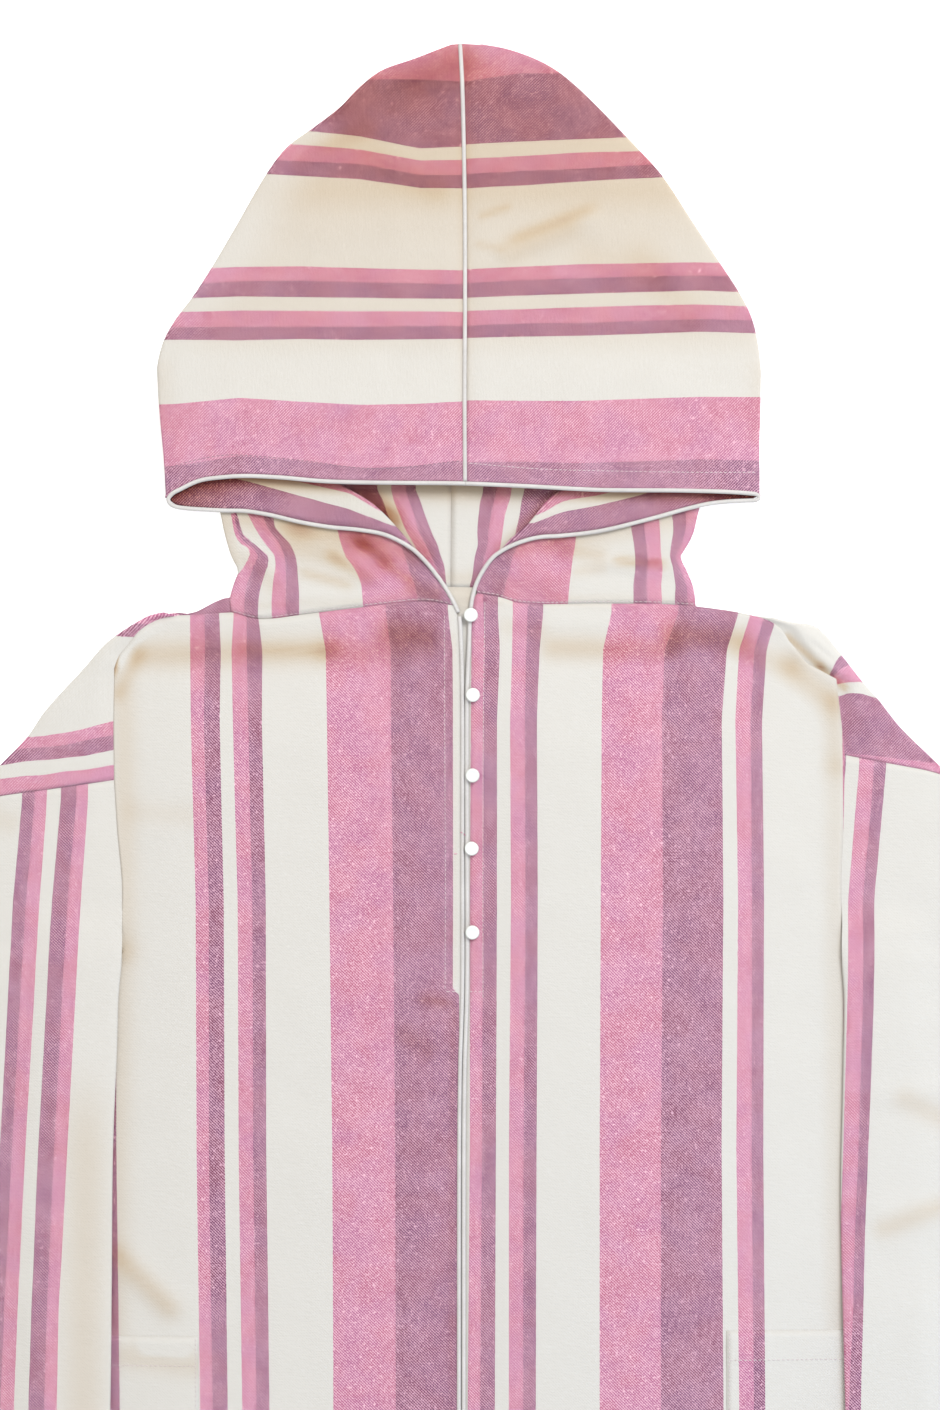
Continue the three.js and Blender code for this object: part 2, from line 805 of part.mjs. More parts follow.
// ---------------------------------------------------------------- sleeves
// A sleeve piece: its under layer from the inner edge out to the fold, then its upper layer back in.
function sleeve(shape, underarm = () => 0) {
  const half = (level, up) => layer({
    ...shape,
    height: () => level,
    foldNear: (k) => ({ high: LEVEL[1], low: LEVEL[0], up, shut: underarm(k), short: 0.25 }),
    foldFar: () => ({ high: LEVEL[1], low: LEVEL[0], up }),
  });
  const above = half(LEVEL[1], true);
  return wall(half(LEVEL[0], false).map((row, k) => [...row, ...reversed(above[k]).slice(1)]));
}

function upperSleeve(side) {
  const hand = HAND[side];
  const { shoulder, upperArmhole, sleeve: seam } = SEAMS[side];
  const inner = beside(chain(shoulder.slice(3), upperArmhole), (-hand * SEAM_GAP) / 2);
  return sleeve({
    near: inner,
    far: run(UPPER_SLEEVE_FOLD[side], inner.length - 1),
    first: run([inner[0], UPPER_SLEEVE_FOLD[side][0]], seam.length - 1),
    last: beside(seam, -hand * SEAM_GAP),
  });
}

// How far the sleeve is lifted where it lies over the side of the body, and over the pocket there.
function overBody(side, x, y) {
  const edge = acrossAt(SEAMS[side].sideSeam, Math.min(y, -268));
  const layers = 2 + ease(-440, -485, y);
  return layers * LAYER * ease(46, 16, (edge - x) * HAND[side]) * ease(-200, -236, y);
}

function lowerSleeve(side) {
  const hand = HAND[side];
  const { lowerArmhole, sleeve: seam } = SEAMS[side];
  const inner = chain(lowerArmhole, run(UNDERARM_FOLD[side], 8));
  const sewn = lowerArmhole.length - 1;
  const outer = LOWER_SLEEVE_FOLD[side];
  return sleeve({
    near: beside(inner, (-hand * SEAM_GAP) / 2),
    far: chain(run(outer.slice(0, 4), sewn), run(outer.slice(3), inner.length - 1 - sewn)),
    first: beside(seam, (hand * SEAM_GAP) / 2),
    lift: (x, y) => overBody(side, x, y),
  }, (k) => ease(sewn - 1, sewn + 1, k));
}

SIDES.forEach((side) => {
  add(`upper_sleeve_${side}`, upperSleeve(side), CREAM);
  add(`lower_sleeve_${side}`, lowerSleeve(side), CREAM);
});

// ---------------------------------------------------------------- pockets
// A patch pocket on each front, its outer edge along the side seam.
function pocket(side) {
  const { x, top } = POCKETS[side];
  const low = top - POCKET_DEPTH;
  const heights = Array.from({ length: 7 }, (_, k) => mix(top, low, k / 6));
  const seam = SEAMS[side].sideSeam;
  return wall(layer({
    near: heights.map((y) => new THREE.Vector3(x, y, 0)),
    far: heights.map((y) => new THREE.Vector3(acrossAt(seam, y) + 2 * HAND[side], y, 0)),
    columns: 6,
    height: (px, py) => frontHeight(px, py) + CLOTH + 2 * SEAM_GAP,
  }));
}

// ---------------------------------------------------------------- piping
const atHeight = (points, height) => points.map(({ x, y }) => new THREE.Vector3(x, y, height(x, y)));
const FRONT_CORD_Z = LEVEL[1] + 0.5;

// From the hood seam out along the upper edge of the face opening, round its corner, and back in to the slit.
function facePiping(side) {
  const { upper, lower, neck } = FACE_RUNS[side];
  const start = { x: -HAND[side] * (CORD_RADIUS / 2), y: upper[0].y };
  const out = atHeight([start, ...upper.slice(1)], (x, y) => hoodTop(x, y) + CORD_RIDE);
  const corner = LEVEL[3] + CORD_RIDE;
  out.at(-1).z = corner;
  const back = atHeight(lower, (x) => mix(LEVEL[2] + CORD_RIDE, corner, ease(165, 198, Math.abs(x))));
  const down = atHeight(neck, (x, y) => mix(FRONT_CORD_Z, LEVEL[2] + CORD_RIDE, ease(10, 38, y)));
  return cord(chain(out, back, down));
}

const seamCord = run(HOOD_SEAM, 12);
seamCord[0].y += 2 * PIPED_EDGE;
add("hood_seam_piping", cord(atHeight(seamCord, (x, y) => hoodTop(x, y) + 0.4)), TRIM, 0.7);
SIDES.forEach((side) => {
  add(`pocket_${side}`, pocket(side), CREAM);
  add(`face_piping_${side}`, facePiping(side), TRIM, 0.7);
  const { x, y } = run(column(FRONT_CORDS, side), 1)[0];
  const front = [{ x, y }, ...SEAMS[side].middle.filter((point) => point.y < y - 4)];
  add(`front_piping_${side}`, cord(atHeight(front, () => FRONT_CORD_Z)), TRIM, 0.7);
});

// ---------------------------------------------------------------- buttons
// A flat round button, its thread shank beside the cord that the button covers.
function button() {
  const rim = [
    [0, 0],
    [BUTTON_RADIUS - 0.6, 0],
    [BUTTON_RADIUS, 0.7],
    [BUTTON_RADIUS, 1.5],
    [BUTTON_RADIUS - 0.7, BUTTON_THICK],
    [BUTTON_RADIUS - 1.7, BUTTON_THICK - 0.3],
    [0, BUTTON_THICK - 0.4],
  ].map(([radius, height]) => new THREE.Vector2(radius, height));
  const disc = new THREE.LatheGeometry(rim, 14).rotateX(Math.PI / 2).translate(0, 0, SHANK);
  const shank = new THREE.CylinderGeometry(1.1, 1.1, SHANK + 0.5, 8).rotateX(Math.PI / 2)
    .translate(SHANK_ASIDE, 0, (SHANK + 0.5) / 2);
  return joined([disc, shank]);
}

BUTTONS.forEach(({ x, y }, k) => {
  const mesh = add(`button_${k + 1}`, button(), 0xf4f6f0, 0.35);
  mesh.position.set(x, y, LEVEL[1] + CLOTH / 2 + SEAM_GAP);
});

const part = new THREE.Group();
part.add(tunic);
export default part;
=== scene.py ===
# %% [markdown]
# # A hooded maxi tunic of striped brushed cotton
# The tunic lies on its back on a table, with its hood spread out above the neck. Its pieces are cloth
# only a millimetre or so thick, lying on each other, so nearly everything that an eye reads as "cloth"
# comes from three things: where each edge and fold runs, how the stripes follow each piece, and how soft
# the light is. The construction model is loaded first and stays as it is. Each cloth piece is then made
# again here, finer, from the same seams, and stands for the plain piece.

# %% Load the construction model
import math

import bmesh
import bpy
import numpy as np
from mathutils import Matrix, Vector


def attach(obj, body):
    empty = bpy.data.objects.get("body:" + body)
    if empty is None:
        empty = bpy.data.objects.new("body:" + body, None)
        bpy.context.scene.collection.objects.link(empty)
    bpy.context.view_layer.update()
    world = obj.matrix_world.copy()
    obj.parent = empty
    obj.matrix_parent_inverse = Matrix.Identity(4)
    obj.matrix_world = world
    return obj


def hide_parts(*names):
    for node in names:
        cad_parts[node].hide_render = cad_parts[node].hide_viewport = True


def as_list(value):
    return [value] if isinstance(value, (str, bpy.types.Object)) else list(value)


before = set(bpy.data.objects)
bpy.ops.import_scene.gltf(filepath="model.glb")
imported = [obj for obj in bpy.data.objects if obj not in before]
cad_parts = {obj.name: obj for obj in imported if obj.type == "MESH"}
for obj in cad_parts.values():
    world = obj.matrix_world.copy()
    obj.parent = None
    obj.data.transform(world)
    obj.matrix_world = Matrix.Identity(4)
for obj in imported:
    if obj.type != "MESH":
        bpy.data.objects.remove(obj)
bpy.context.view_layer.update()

# %% [markdown]
# ## One ruler for everything
# A garment is drafted from its neck, so every table here is in millimetres from the middle of the front
# neck line, +X to the right and +Y towards the top of the hood. Blender works in metres from the middle
# of the tunic's length. One function turns the first into the second, and nothing else needs to know.

# %% Sizes and the ruler
HOOD_TOP = 382
HEM = -1300
CLOTH = 1.4
LAYER = 1.8
SEAM_GAP = 0.02
CORD_RADIUS = 1.42
PIPED_EDGE = CORD_RADIUS - 0.45
UNDERARM = -241
CUFF = -620
SLIT_END = -260
POCKET_DEPTH = 165
LEVEL = [CLOTH / 2 + k * LAYER for k in range(4)]
HAND = {"left": 1, "right": -1}
SIDES = ("left", "right")
MIDDLE = (HOOD_TOP + HEM) / 2


def metres(points):
    """Points in millimetres from the neck, as metres in the tunic's own frame."""
    points = np.asarray(points, float)
    return (points - [0, MIDDLE, 0]) / 1000


print("the neck line lies", -MIDDLE, "mm above the middle of the tunic")

# %% [markdown]
# ## The camera
# The camera looks straight down, as over a table. A long lens, 85 mm on a sensor 36 mm high, keeps the
# stripes straight and parallel. It frames 959 mm of the tunic at the height of the cloth's face: the
# hood, the neck and the chest. The rest of the tunic runs out of the picture.

# %% Camera
VIEW_CENTRE = (3.4, -68.0)
VIEW_HEIGHT = 958.8
FRAMED_AT = 4
FOCAL_LENGTH = 85
SENSOR = 36
lens = bpy.data.cameras.new("camera")
lens.sensor_fit = "VERTICAL"
lens.sensor_height = SENSOR
lens.sensor_width = SENSOR
lens.lens = FOCAL_LENGTH
lens.clip_end = 20
camera = bpy.data.objects.new("camera", lens)
camera.location = metres([*VIEW_CENTRE, VIEW_HEIGHT * FOCAL_LENGTH / SENSOR + FRAMED_AT])
bpy.context.scene.collection.objects.link(camera)
bpy.context.scene.camera = camera
print("camera", [round(v, 3) for v in camera.location])

# %% [markdown]
# ## Shader sums as plain sums
# A material is a sheet of nodes joined by wires. Written by hand that is long and hard to read, so a
# small class stands for the end of a wire, and adds the Math node when two ends are added or multiplied.
# Everything else, such as a noise or a ramp, comes from one method that makes any node.

# %% Wires and boards
class Wire:
    """The end of a wire in a material. Sums on it add Math nodes."""

    def __init__(self, board, socket):
        self.board = board
        self.socket = socket

    def math(self, operation, *others):
        values = dict(enumerate([self, *others]))
        return self.board.node("Math", {"operation": operation}, values)

    def __add__(self, other):
        return self.math("ADD", other)

    def __sub__(self, other):
        return self.math("SUBTRACT", other)

    def __mul__(self, other):
        return self.math("MULTIPLY", other)

    def __truediv__(self, other):
        return self.math("DIVIDE", other)

    def __mod__(self, other):
        return self.math("FLOORED_MODULO", other)

    __radd__ = __add__

    def between(self, low, high, rise="SMOOTHSTEP"):
        """0 below low, 1 above high, and a smooth rise between them."""
        sockets = {"Value": self, "From Min": low, "From Max": high}
        return self.board.node("MapRange", {"interpolation_type": rise}, sockets)

    def within(self, low, high):
        """0 below low, 1 above high, and a straight rise between them."""
        return self.between(low, high, "LINEAR")


class Board:
    """A material and the one method that adds nodes to it."""

    def __init__(self, name, **surface):
        self.material = bpy.data.materials.new(name)
        self.material.use_nodes = True
        self.tree = self.material.node_tree
        self.shader = self.tree.nodes["Principled BSDF"]
        self.join(surface)

    def join(self, sockets, node=None):
        for name, value in sockets.items():
            socket = (node or self.shader).inputs[name]
            if isinstance(value, Wire):
                self.tree.links.new(value.socket, socket)
            else:
                socket.default_value = value

    def node(self, kind, settings=None, sockets=None, out=0):
        made = self.tree.nodes.new("ShaderNode" + kind)
        for name, value in (settings or {}).items():
            if name == "stops":
                self.set_stops(made.color_ramp, value)
            else:
                setattr(made, name, value)
        self.join(sockets or {}, made)
        return Wire(self, made.outputs[out])

    def set_stops(self, ramp, stops):
        ramp.interpolation = "CONSTANT"
        while len(ramp.elements) < len(stops):
            ramp.elements.new(1.0)
        for element, (place, colour) in zip(ramp.elements, stops):
            element.position = place
            element.color = (*colour, 1)

    def blend(self, share, a, b, how="MIX"):
        """Two colours mixed by a share from 0 to 1."""
        sockets = {0: share, 6: a, 7: b}
        return self.node("Mix", {"data_type": "RGBA", "blend_type": how}, sockets, out=2)

    def noise(self, place, scale, detail=2.0, roughness=0.5):
        sockets = {"Vector": place, "Scale": scale, "Detail": detail, "Roughness": roughness}
        return self.node("TexNoise", {}, sockets)


print("wires and boards are ready")

# %% [markdown]
# ## Floor and light
# Soft daylight from everywhere makes cloth look soft and nearly free of shadow. One broad lamp from the
# upper right gives the folds and the cords a lit side and a shaded one. A weak warm lamp fills in from
# the left, and a small blue one, as from a window, cools the lower right. The floor is plain and pale.

# %% Floor and light
FLOOR_HALF = 6.0
FLOOR_DROP = 0.0004
FLOOR_GLOW = 0.35
DAYLIGHT = 0.935
LAMPS = [
    ("key", (1.3, 2.6, 2.9), (0.0, 0.45, 0.0), 2.0, 150.0, (1.0, 1.0, 1.0)),
    ("fill", (-1.5, -0.4, 2.2), (0.0, 0.2, 0.0), 1.6, 9.0, (1.0, 0.92, 0.82)),
    ("window", (0.85, -0.45, 0.8), (0.25, -0.05, 0.0), 0.7, 4.0, (0.35, 0.62, 1.0)),
]


def pale_floor():
    mesh = bpy.data.meshes.new("floor")
    corners = [(-1, -1), (1, -1), (1, 1), (-1, 1)]
    corners = [(x * FLOOR_HALF, y * FLOOR_HALF, -FLOOR_DROP) for x, y in corners]
    mesh.from_pydata(corners, [], [(0, 1, 2, 3)])
    board = Board("pale_floor", Roughness=0.9)
    place = board.node("TexCoord", out="Object")
    grain = board.noise(place, 40.0)
    pale = board.blend(grain, (0.93, 0.93, 0.93, 1), (0.97, 0.97, 0.97, 1))
    board.join({"Base Color": pale, "Emission Color": (1, 1, 1, 1), "Emission Strength": FLOOR_GLOW})
    mesh.materials.append(board.material)
    floor = bpy.data.objects.new("floor", mesh)
    bpy.context.scene.collection.objects.link(floor)


def lamp(name, place, aim, size, power, colour):
    """A round soft lamp at a place, turned towards its aim."""
    light = bpy.data.lights.new(name, "AREA")
    light.shape = "DISK"
    light.size = size
    light.energy = power
    light.color = colour
    made = bpy.data.objects.new(name, light)
    made.location = place
    way = Vector(aim) - Vector(place)
    made.rotation_euler = way.to_track_quat("-Z", "Y").to_euler()
    bpy.context.scene.collection.objects.link(made)


world = bpy.data.worlds.new("daylight")
world.use_nodes = True
sky = world.node_tree.nodes["Background"].inputs
sky["Color"].default_value = (1.0, 1.0, 1.0, 1)
sky["Strength"].default_value = DAYLIGHT
bpy.context.scene.world = world
bpy.context.scene.view_settings.view_transform = "Standard"
pale_floor()
for row in LAMPS:
    lamp(*row)
print("the floor and", len(LAMPS), "lamps are up")

# %% [markdown]
# ## The striped cotton
# The cloth is a brushed twill, woven from cream yarn with pink and mauve stripes. A stripe in a piece of
# cloth has a place across the bolt, so every point of the tunic carries that place as a number of
# millimetres, and the pattern repeats every 260 mm. Three ramps turn it into colour: the deep tone of the
# coloured yarn in two dye lots, and the pale tone where the cream yarn lies over it.

# %% Stripes of one repeat
REPEAT = 260.0
STRIPES = [
    ("mauve", 42.5), ("pink", 42.5), ("cream", 43.0), ("mauve", 9.8), ("pink", 9.8), ("cream", 9.8),
    ("mauve", 9.5), ("pink", 9.8), ("cream", 54.0), ("mauve", 9.8), ("pink", 9.8), ("cream", 9.7),
]
DEEP = {"mauve": (0.128, 0.028, 0.06), "pink": (0.31, 0.083, 0.14), "cream": (0.455, 0.436, 0.4)}
COOL = {"mauve": (0.108, 0.03, 0.08), "pink": (0.285, 0.087, 0.175), "cream": (0.455, 0.436, 0.4)}
PALE = {"mauve": (0.5, 0.292, 0.365), "pink": (0.59, 0.345, 0.41), "cream": (0.49, 0.475, 0.446)}


def yarn_stops(tones):
    """The colour stops of one repeat of the stripes."""
    stops = []
    start = 0.0
    for name, width in STRIPES:
        stops.append((start / REPEAT, tones[name]))
        start += width
    return stops


print("one repeat of", len(STRIPES), "stripes is", sum(width for _, width in STRIPES), "mm wide")

# %% [markdown]
# ## Weaving it
# Fine diagonal ribs, fainter ones the other way, random flecks and a few thick neps choose between the deep
# tone and the pale one, which is just what a brushed twill does. The two dye lots blend in soft clouds. A
# painted shade from 0 to 1 warms the cloth and lets less of the pale yarn show, and from 1 to 2 darkens it:
# the light and shade of folds, painted into the colour. The nap's pebbles are nearly three times as wide as
# they are tall, and a slow crumple runs under them.

# %% The cotton
YARN = 0.0005
FRAY = 0.9
RIB, COUNTER, CHANCE, FLECK, CLOUD, NEP = 0.85, 0.4, 0.6, 1.3, 0.7, 1.8
PICK_START = 1.55
# Colours of the painted shade: warm in soft folds, dark in deep ones.
PAINTED_WARM_SHADE = (0.84, 0.7, 0.54, 1)
PAINTED_DARK_SHADE = (0.66, 0.42, 0.3, 1)
PEBBLE_ACROSS = 0.35


def striped_cotton():
    board = Board("striped_cotton", Roughness=0.92)
    board.shader.inputs["Sheen Weight"].default_value = 0.12
    board.shader.inputs["Sheen Roughness"].default_value = 0.5
    board.shader.inputs["Specular IOR Level"].default_value = 0.2
    weave = board.node("UVMap", {"uv_map": "weave"})
    marks = board.node("UVMap", {"uv_map": "marks"})
    across = board.node("SeparateXYZ", {}, {0: weave})
    along = Wire(board, across.socket.node.outputs[1])
    place = board.node("SeparateXYZ", {}, {0: marks})
    shade = Wire(board, place.socket.node.outputs[1])

    fray = board.noise(weave, 900.0, 2.0) - 0.5
    stripe = ((place * 1000.0 + fray * FRAY) % REPEAT) / REPEAT
    deep, cool, pale = (board.node("ValToRGB", {"stops": yarn_stops(tones)}, {0: stripe})
                        for tones in (DEEP, COOL, PALE))

    warp = (across / YARN).math("FLOOR")
    weft = (along / YARN).math("FLOOR")
    rib = ((warp + weft) % 4.0).math("LESS_THAN", 1.5)
    counter = ((warp - weft) % 4.0).math("LESS_THAN", 1.5)
    pairs = [(each / 2.0).math("FLOOR") for each in (warp, weft)]
    crossing = board.node("CombineXYZ", {}, dict(enumerate(pairs)))
    chance = board.node("TexWhiteNoise", {"noise_dimensions": "2D"}, {"Vector": crossing})
    fleck = board.noise(weave, 760.0, 2.0, 0.6)
    cloud = board.noise(weave, 42.0, 3.0, 0.6)
    nep = board.noise(weave, 430.0, 1.0).between(0.66, 0.71)
    woven = rib * RIB + counter * COUNTER + chance * CHANCE
    pick = woven + fleck * FLECK + cloud * CLOUD + nep * NEP - PICK_START
    # A painted shade lets less of the pale yarn show, so that shaded stripes look deeper.
    held = (pick - shade * 0.18).between(0.0, 1.0)
    lot = board.noise(weave, 34.0, 2.0, 0.6).between(0.35, 0.65)
    cloth = board.blend(held, board.blend(lot, deep, cool), pale)
    # Painted shade, multiplied into the cloth's colour: warm from 0 to 1, dark from 1 to 2.
    warm = board.blend(shade.within(0.0, 1.0), (1, 1, 1, 1), PAINTED_WARM_SHADE)
    dark = board.blend(shade.within(1.0, 2.0), (1, 1, 1, 1), PAINTED_DARK_SHADE)
    for tint in (warm, dark):
        cloth = board.blend(1.0, cloth, tint, "MULTIPLY")
    board.join({"Base Color": cloth})

    crosswise = board.node("CombineXYZ", {}, {0: across * PEBBLE_ACROSS, 1: along})
    pebble = board.noise(crosswise, 560.0, 2.0, 0.5)
    crumple = board.noise(weave, 26.0, 3.0, 0.45)
    height = rib * 0.04 + fleck * 0.2 + pebble * 0.4 + crumple * 1.2
    bump = board.node("Bump", {}, {"Strength": 0.6, "Distance": 0.0011, "Height": height})
    board.join({"Normal": bump})
    return board.material


COTTON = striped_cotton()
print("the cotton has", len(COTTON.node_tree.nodes), "nodes")

# %% [markdown]
# ## Piping, buttons and thread
# The piping is a cord in a strip of off-white cotton, its surface slightly ribbed where the strip wraps
# round. The buttons are white and polished, and the thread is a matt twist.

# %% Trim materials
def piping_cotton():
    board = Board("piping_cotton", Roughness=0.8)
    board.shader.inputs["Sheen Weight"].default_value = 0.1
    board.shader.inputs["Specular IOR Level"].default_value = 0.3
    place = board.node("TexCoord", out="Object")
    grain = board.noise(place, 900.0, 3.0, 0.6)
    patches = board.noise(place, 60.0, 2.0)
    tone = grain * 0.6 + patches * 0.4
    colour = board.blend(tone.between(0.3, 0.7), (0.41, 0.392, 0.375, 1), (0.5, 0.485, 0.47, 1))
    bump = board.node("Bump", {}, {"Strength": 0.5, "Distance": 0.0004, "Height": grain})
    board.join({"Base Color": colour, "Normal": bump})
    return board.material


def button_white():
    board = Board("button_white", Roughness=0.3)
    board.shader.inputs["Coat Weight"].default_value = 0.4
    board.shader.inputs["Coat Roughness"].default_value = 0.15
    place = board.node("TexCoord", out="Object")
    swirl = board.noise(place, 220.0, 3.0, 0.6)
    colour = board.blend(swirl.between(0.3, 0.7), (0.56, 0.585, 0.55, 1), (0.63, 0.65, 0.62, 1))
    board.join({"Base Color": colour, "Roughness": 0.22 + swirl * 0.2})
    return board.material


def thread(name, dark, pale):
    board = Board(name, Roughness=0.75)
    place = board.node("TexCoord", out="Object")
    twist = board.noise(place, 1500.0, 2.0)
    colour = board.blend(twist.between(0.3, 0.7), (*dark, 1), (*pale, 1))
    bump = board.node("Bump", {}, {"Strength": 0.4, "Distance": 0.0002, "Height": twist})
    board.join({"Base Color": colour, "Normal": bump})
    return board.material


PIPING = piping_cotton()
BUTTON = button_white()
THREAD = thread("pale_thread", (0.42, 0.34, 0.35), (0.54, 0.49, 0.48))
PINK_THREAD = thread("pink_thread", (0.35, 0.08, 0.16), (0.5, 0.16, 0.26))
GREY_THREAD = thread("grey_thread", (0.1, 0.05, 0.08), (0.24, 0.16, 0.2))
print("trim materials:", PIPING.name, BUTTON.name, THREAD.name, PINK_THREAD.name)

# %% [markdown]
# ## Lines on the cloth
# Every edge, seam and fold is a smooth line through a few measured points. A centripetal spline is used
# because it never overshoots or loops between uneven points. Points are then taken at equal distances
# along it, so that two pieces sewn along one seam share the same points.

# %% Smooth lines through measured points
SPLINE_STEPS = 40
FADE = 0.22


def run(rows, pieces):
    """Points along a smooth curve through rows of (x, y), the same distance apart."""
    p = np.asarray(rows, float)
    p = np.vstack([2 * p[0] - p[1], p, 2 * p[-1] - p[-2]])
    fine = []
    for k in range(1, len(p) - 2):
        a, b, c, d = p[k - 1:k + 3]
        gaps = [max(np.linalg.norm(n - m) ** 0.5, 1e-4) for m, n in ((a, b), (b, c), (c, d))]
        start = ((b - a) / gaps[0] - (c - a) / (gaps[0] + gaps[1])) * gaps[1] + (c - b)
        end = ((d - c) / gaps[2] - (d - b) / (gaps[1] + gaps[2])) * gaps[1] + (c - b)
        t = np.linspace(0, 1, SPLINE_STEPS, endpoint=False)[:, None]
        curve = b + start * t + (3 * (c - b) - 2 * start - end) * t ** 2
        fine.append(curve + (2 * (b - c) + start + end) * t ** 3)
    fine = np.vstack([*fine, p[-2]])
    return evenly(fine, pieces)


def evenly(points, pieces):
    """Points at equal distances along a broken line."""
    steps = np.linalg.norm(np.diff(points, axis=0), axis=1)
    length = np.concatenate([[0], np.cumsum(steps)])
    at = np.linspace(0, length[-1], pieces + 1)
    return np.column_stack([np.interp(at, length, axis) for axis in points.T])


def chain(*runs):
    """Runs joined end to end, each starting where the last one ends."""
    return np.vstack([runs[0], *[each[1:] for each in runs[1:]]])


def beside(points, distance):
    """The same points moved sideways, to the left of their own direction."""
    way = np.gradient(points[:, :2], axis=0)
    way /= np.linalg.norm(way, axis=1)[:, None]
    moved = points.copy()
    moved[:, 0] -= way[:, 1] * distance
    moved[:, 1] += way[:, 0] * distance
    return moved


def across_at(points, y):
    """Where a run of points crosses each height."""
    order = np.argsort(points[:, 1])
    return np.interp(y, points[order, 1], points[order, 0])


def ease(low, high, value):
    """0 at low, 1 at high, and a smooth rise between them."""
    f = np.clip((np.asarray(value, float) - low) / (high - low), 0, 1)
    return f * f * (3 - 2 * f)


def mix(a, b, f):
    """From a to b by a share."""
    return a + (b - a) * f


def folds(table, x, y):
    """Height, or shade, of a table's soft lines: from (x1, y1) to (x2, y2), and faded out at its ends where
    the reach is written with a minus."""
    total = np.zeros(np.broadcast(x, y).shape)
    for x1, y1, x2, y2, reach, amount in table:
        dx, dy = x2 - x1, y2 - y1
        f = np.clip(((x - x1) * dx + (y - y1) * dy) / (dx * dx + dy * dy), 0, 1)
        away = np.hypot(x - x1 - f * dx, y - y1 - f * dy)
        fade = ease(0, FADE, f) * ease(0, FADE, 1 - f) if reach < 0 else 1
        total = total + amount * fade * np.exp(-((away / abs(reach)) ** 2))
    return total


print("a run through three points:", run([(0, 0), (10, 4), (20, 0)], 4).round(2).tolist())

# %% [markdown]
# ## One layer of cloth
# A layer is a net of points stretched between four edges, which is called a Coons patch: each inner point
# is blended from the edges around it. Where the cloth turns into the next layer, the last few columns
# follow a quarter circle, and end exactly where the next layer begins. Layers that meet in a fold
# therefore weld into one sheet, and Blender's Solidify modifier then gives that sheet its thickness.

# %% Layers and folds
TURN = np.radians([0, 18, 38, 62, 90])


def along_edge(points, share):
    """Places on a run of points, counted in shares of its points."""
    at = share * (len(points) - 1)
    steps = np.arange(len(points))
    return np.column_stack([np.interp(at, steps, points[:, axis]) for axis in (0, 1)])


def layer(near, far, height, first=None, last=None, columns=20, fold_near=None, fold_far=None):
    """Rows of points on the middle of the cloth. A fold gives each row's edge height and its radius."""
    rows = len(near) - 1
    first = np.array([near[0], far[0]]) if first is None else first
    last = np.array([near[-1], far[-1]]) if last is None else last
    near = np.vstack([first[:1], near[1:-1], last[:1]])
    far = np.vstack([first[-1:], far[1:-1], last[-1:]])
    pieces = len(first) - 1 if len(first) > 2 else columns
    middle = np.arange(1, pieces) / pieces
    grid = []
    for k in range(rows + 1):
        f = k / rows
        width = max(np.linalg.norm(far[k] - near[k]), 1e-3)
        turns = [turn_points(fold, k, width) for fold in (fold_near, fold_far)]
        low, high = (each[-1][0] for each in turns)
        inner = low + (1 - high - low) * middle if low + high < 1 else low + 0 * middle
        share = np.array([s for s, _ in turns[0]] + list(inner) + [1 - s for s, _ in reversed(turns[1])])
        s, e = along_edge(first, share), along_edge(last, share)
        u = share[:, None]
        flat = mix(near[k], far[k], u) + mix(s, e, f)
        flat = flat - mix(mix(near[0], far[0], u), mix(near[-1], far[-1], u), f)
        z = height(flat[:, 0], flat[:, 1])
        for turn, places in zip(turns, (range(len(share)), range(len(share) - 1, -1, -1))):
            for at, (_, rise) in zip(places, turn):
                if rise is not None:
                    edge, share_up = rise
                    z[at] = mix(edge, z[at], share_up)
        grid.append(np.column_stack([flat, z]))
    return np.array(grid)


def turn_points(fold, k, width):
    """Where the quarter circle of a fold stands in a row, and how far up each of its points is."""
    if fold is None:
        return [(0.0, None)]
    edge, radius = fold(k)
    radius = min(radius, 0.3 * width)
    return [(radius * (1 - math.cos(a)) / width, (edge, math.sin(a))) for a in TURN]


print("a fold turns in", len(TURN) - 1, "steps")

# %% [markdown]
# ## Stripes as guide lines
# On a real piece the stripes bend a little wherever the cloth is pulled or eased. Each line between two
# stripes is measured at a few stations, and the places across the bolt are read off between the nearest
# two lines. Beyond the last line the cloth simply goes on at its true width.

# %% Guides
class Guides:
    """Lines between stripes: each row is a place across the bolt and where the line is at each station."""

    def __init__(self, crosswise, stations, rows):
        order = np.argsort(stations)
        self.crosswise = crosswise
        self.stations = np.array(stations, float)[order]
        rows = sorted(rows, key=lambda row: row[1 + len(stations) // 2])
        self.places = [row[0] for row in rows]
        self.lines = [np.array(row[1:], float)[order] for row in rows]

    def read(self, x, y):
        """Places across the bolt, then the weave's own two directions, at points in millimetres."""
        at, level = (y, x) if self.crosswise else (x, y)
        lines = [np.interp(level, self.stations, line) for line in self.lines]
        first, last = (np.sign(self.places[k + 1] - self.places[k]) for k in (0, -2))
        place = self.places[0] + (at - lines[0]) * first
        for k in range(len(lines) - 1):
            f = (at - lines[k]) / np.maximum(lines[k + 1] - lines[k], 1e-3)
            place = np.where(f >= 0, mix(self.places[k], self.places[k + 1], f), place)
        place = np.where(at >= lines[-1], self.places[-1] + (at - lines[-1]) * last, place)
        weave = (y, -x) if self.crosswise else (x, y)
        return place, weave[0], weave[1]


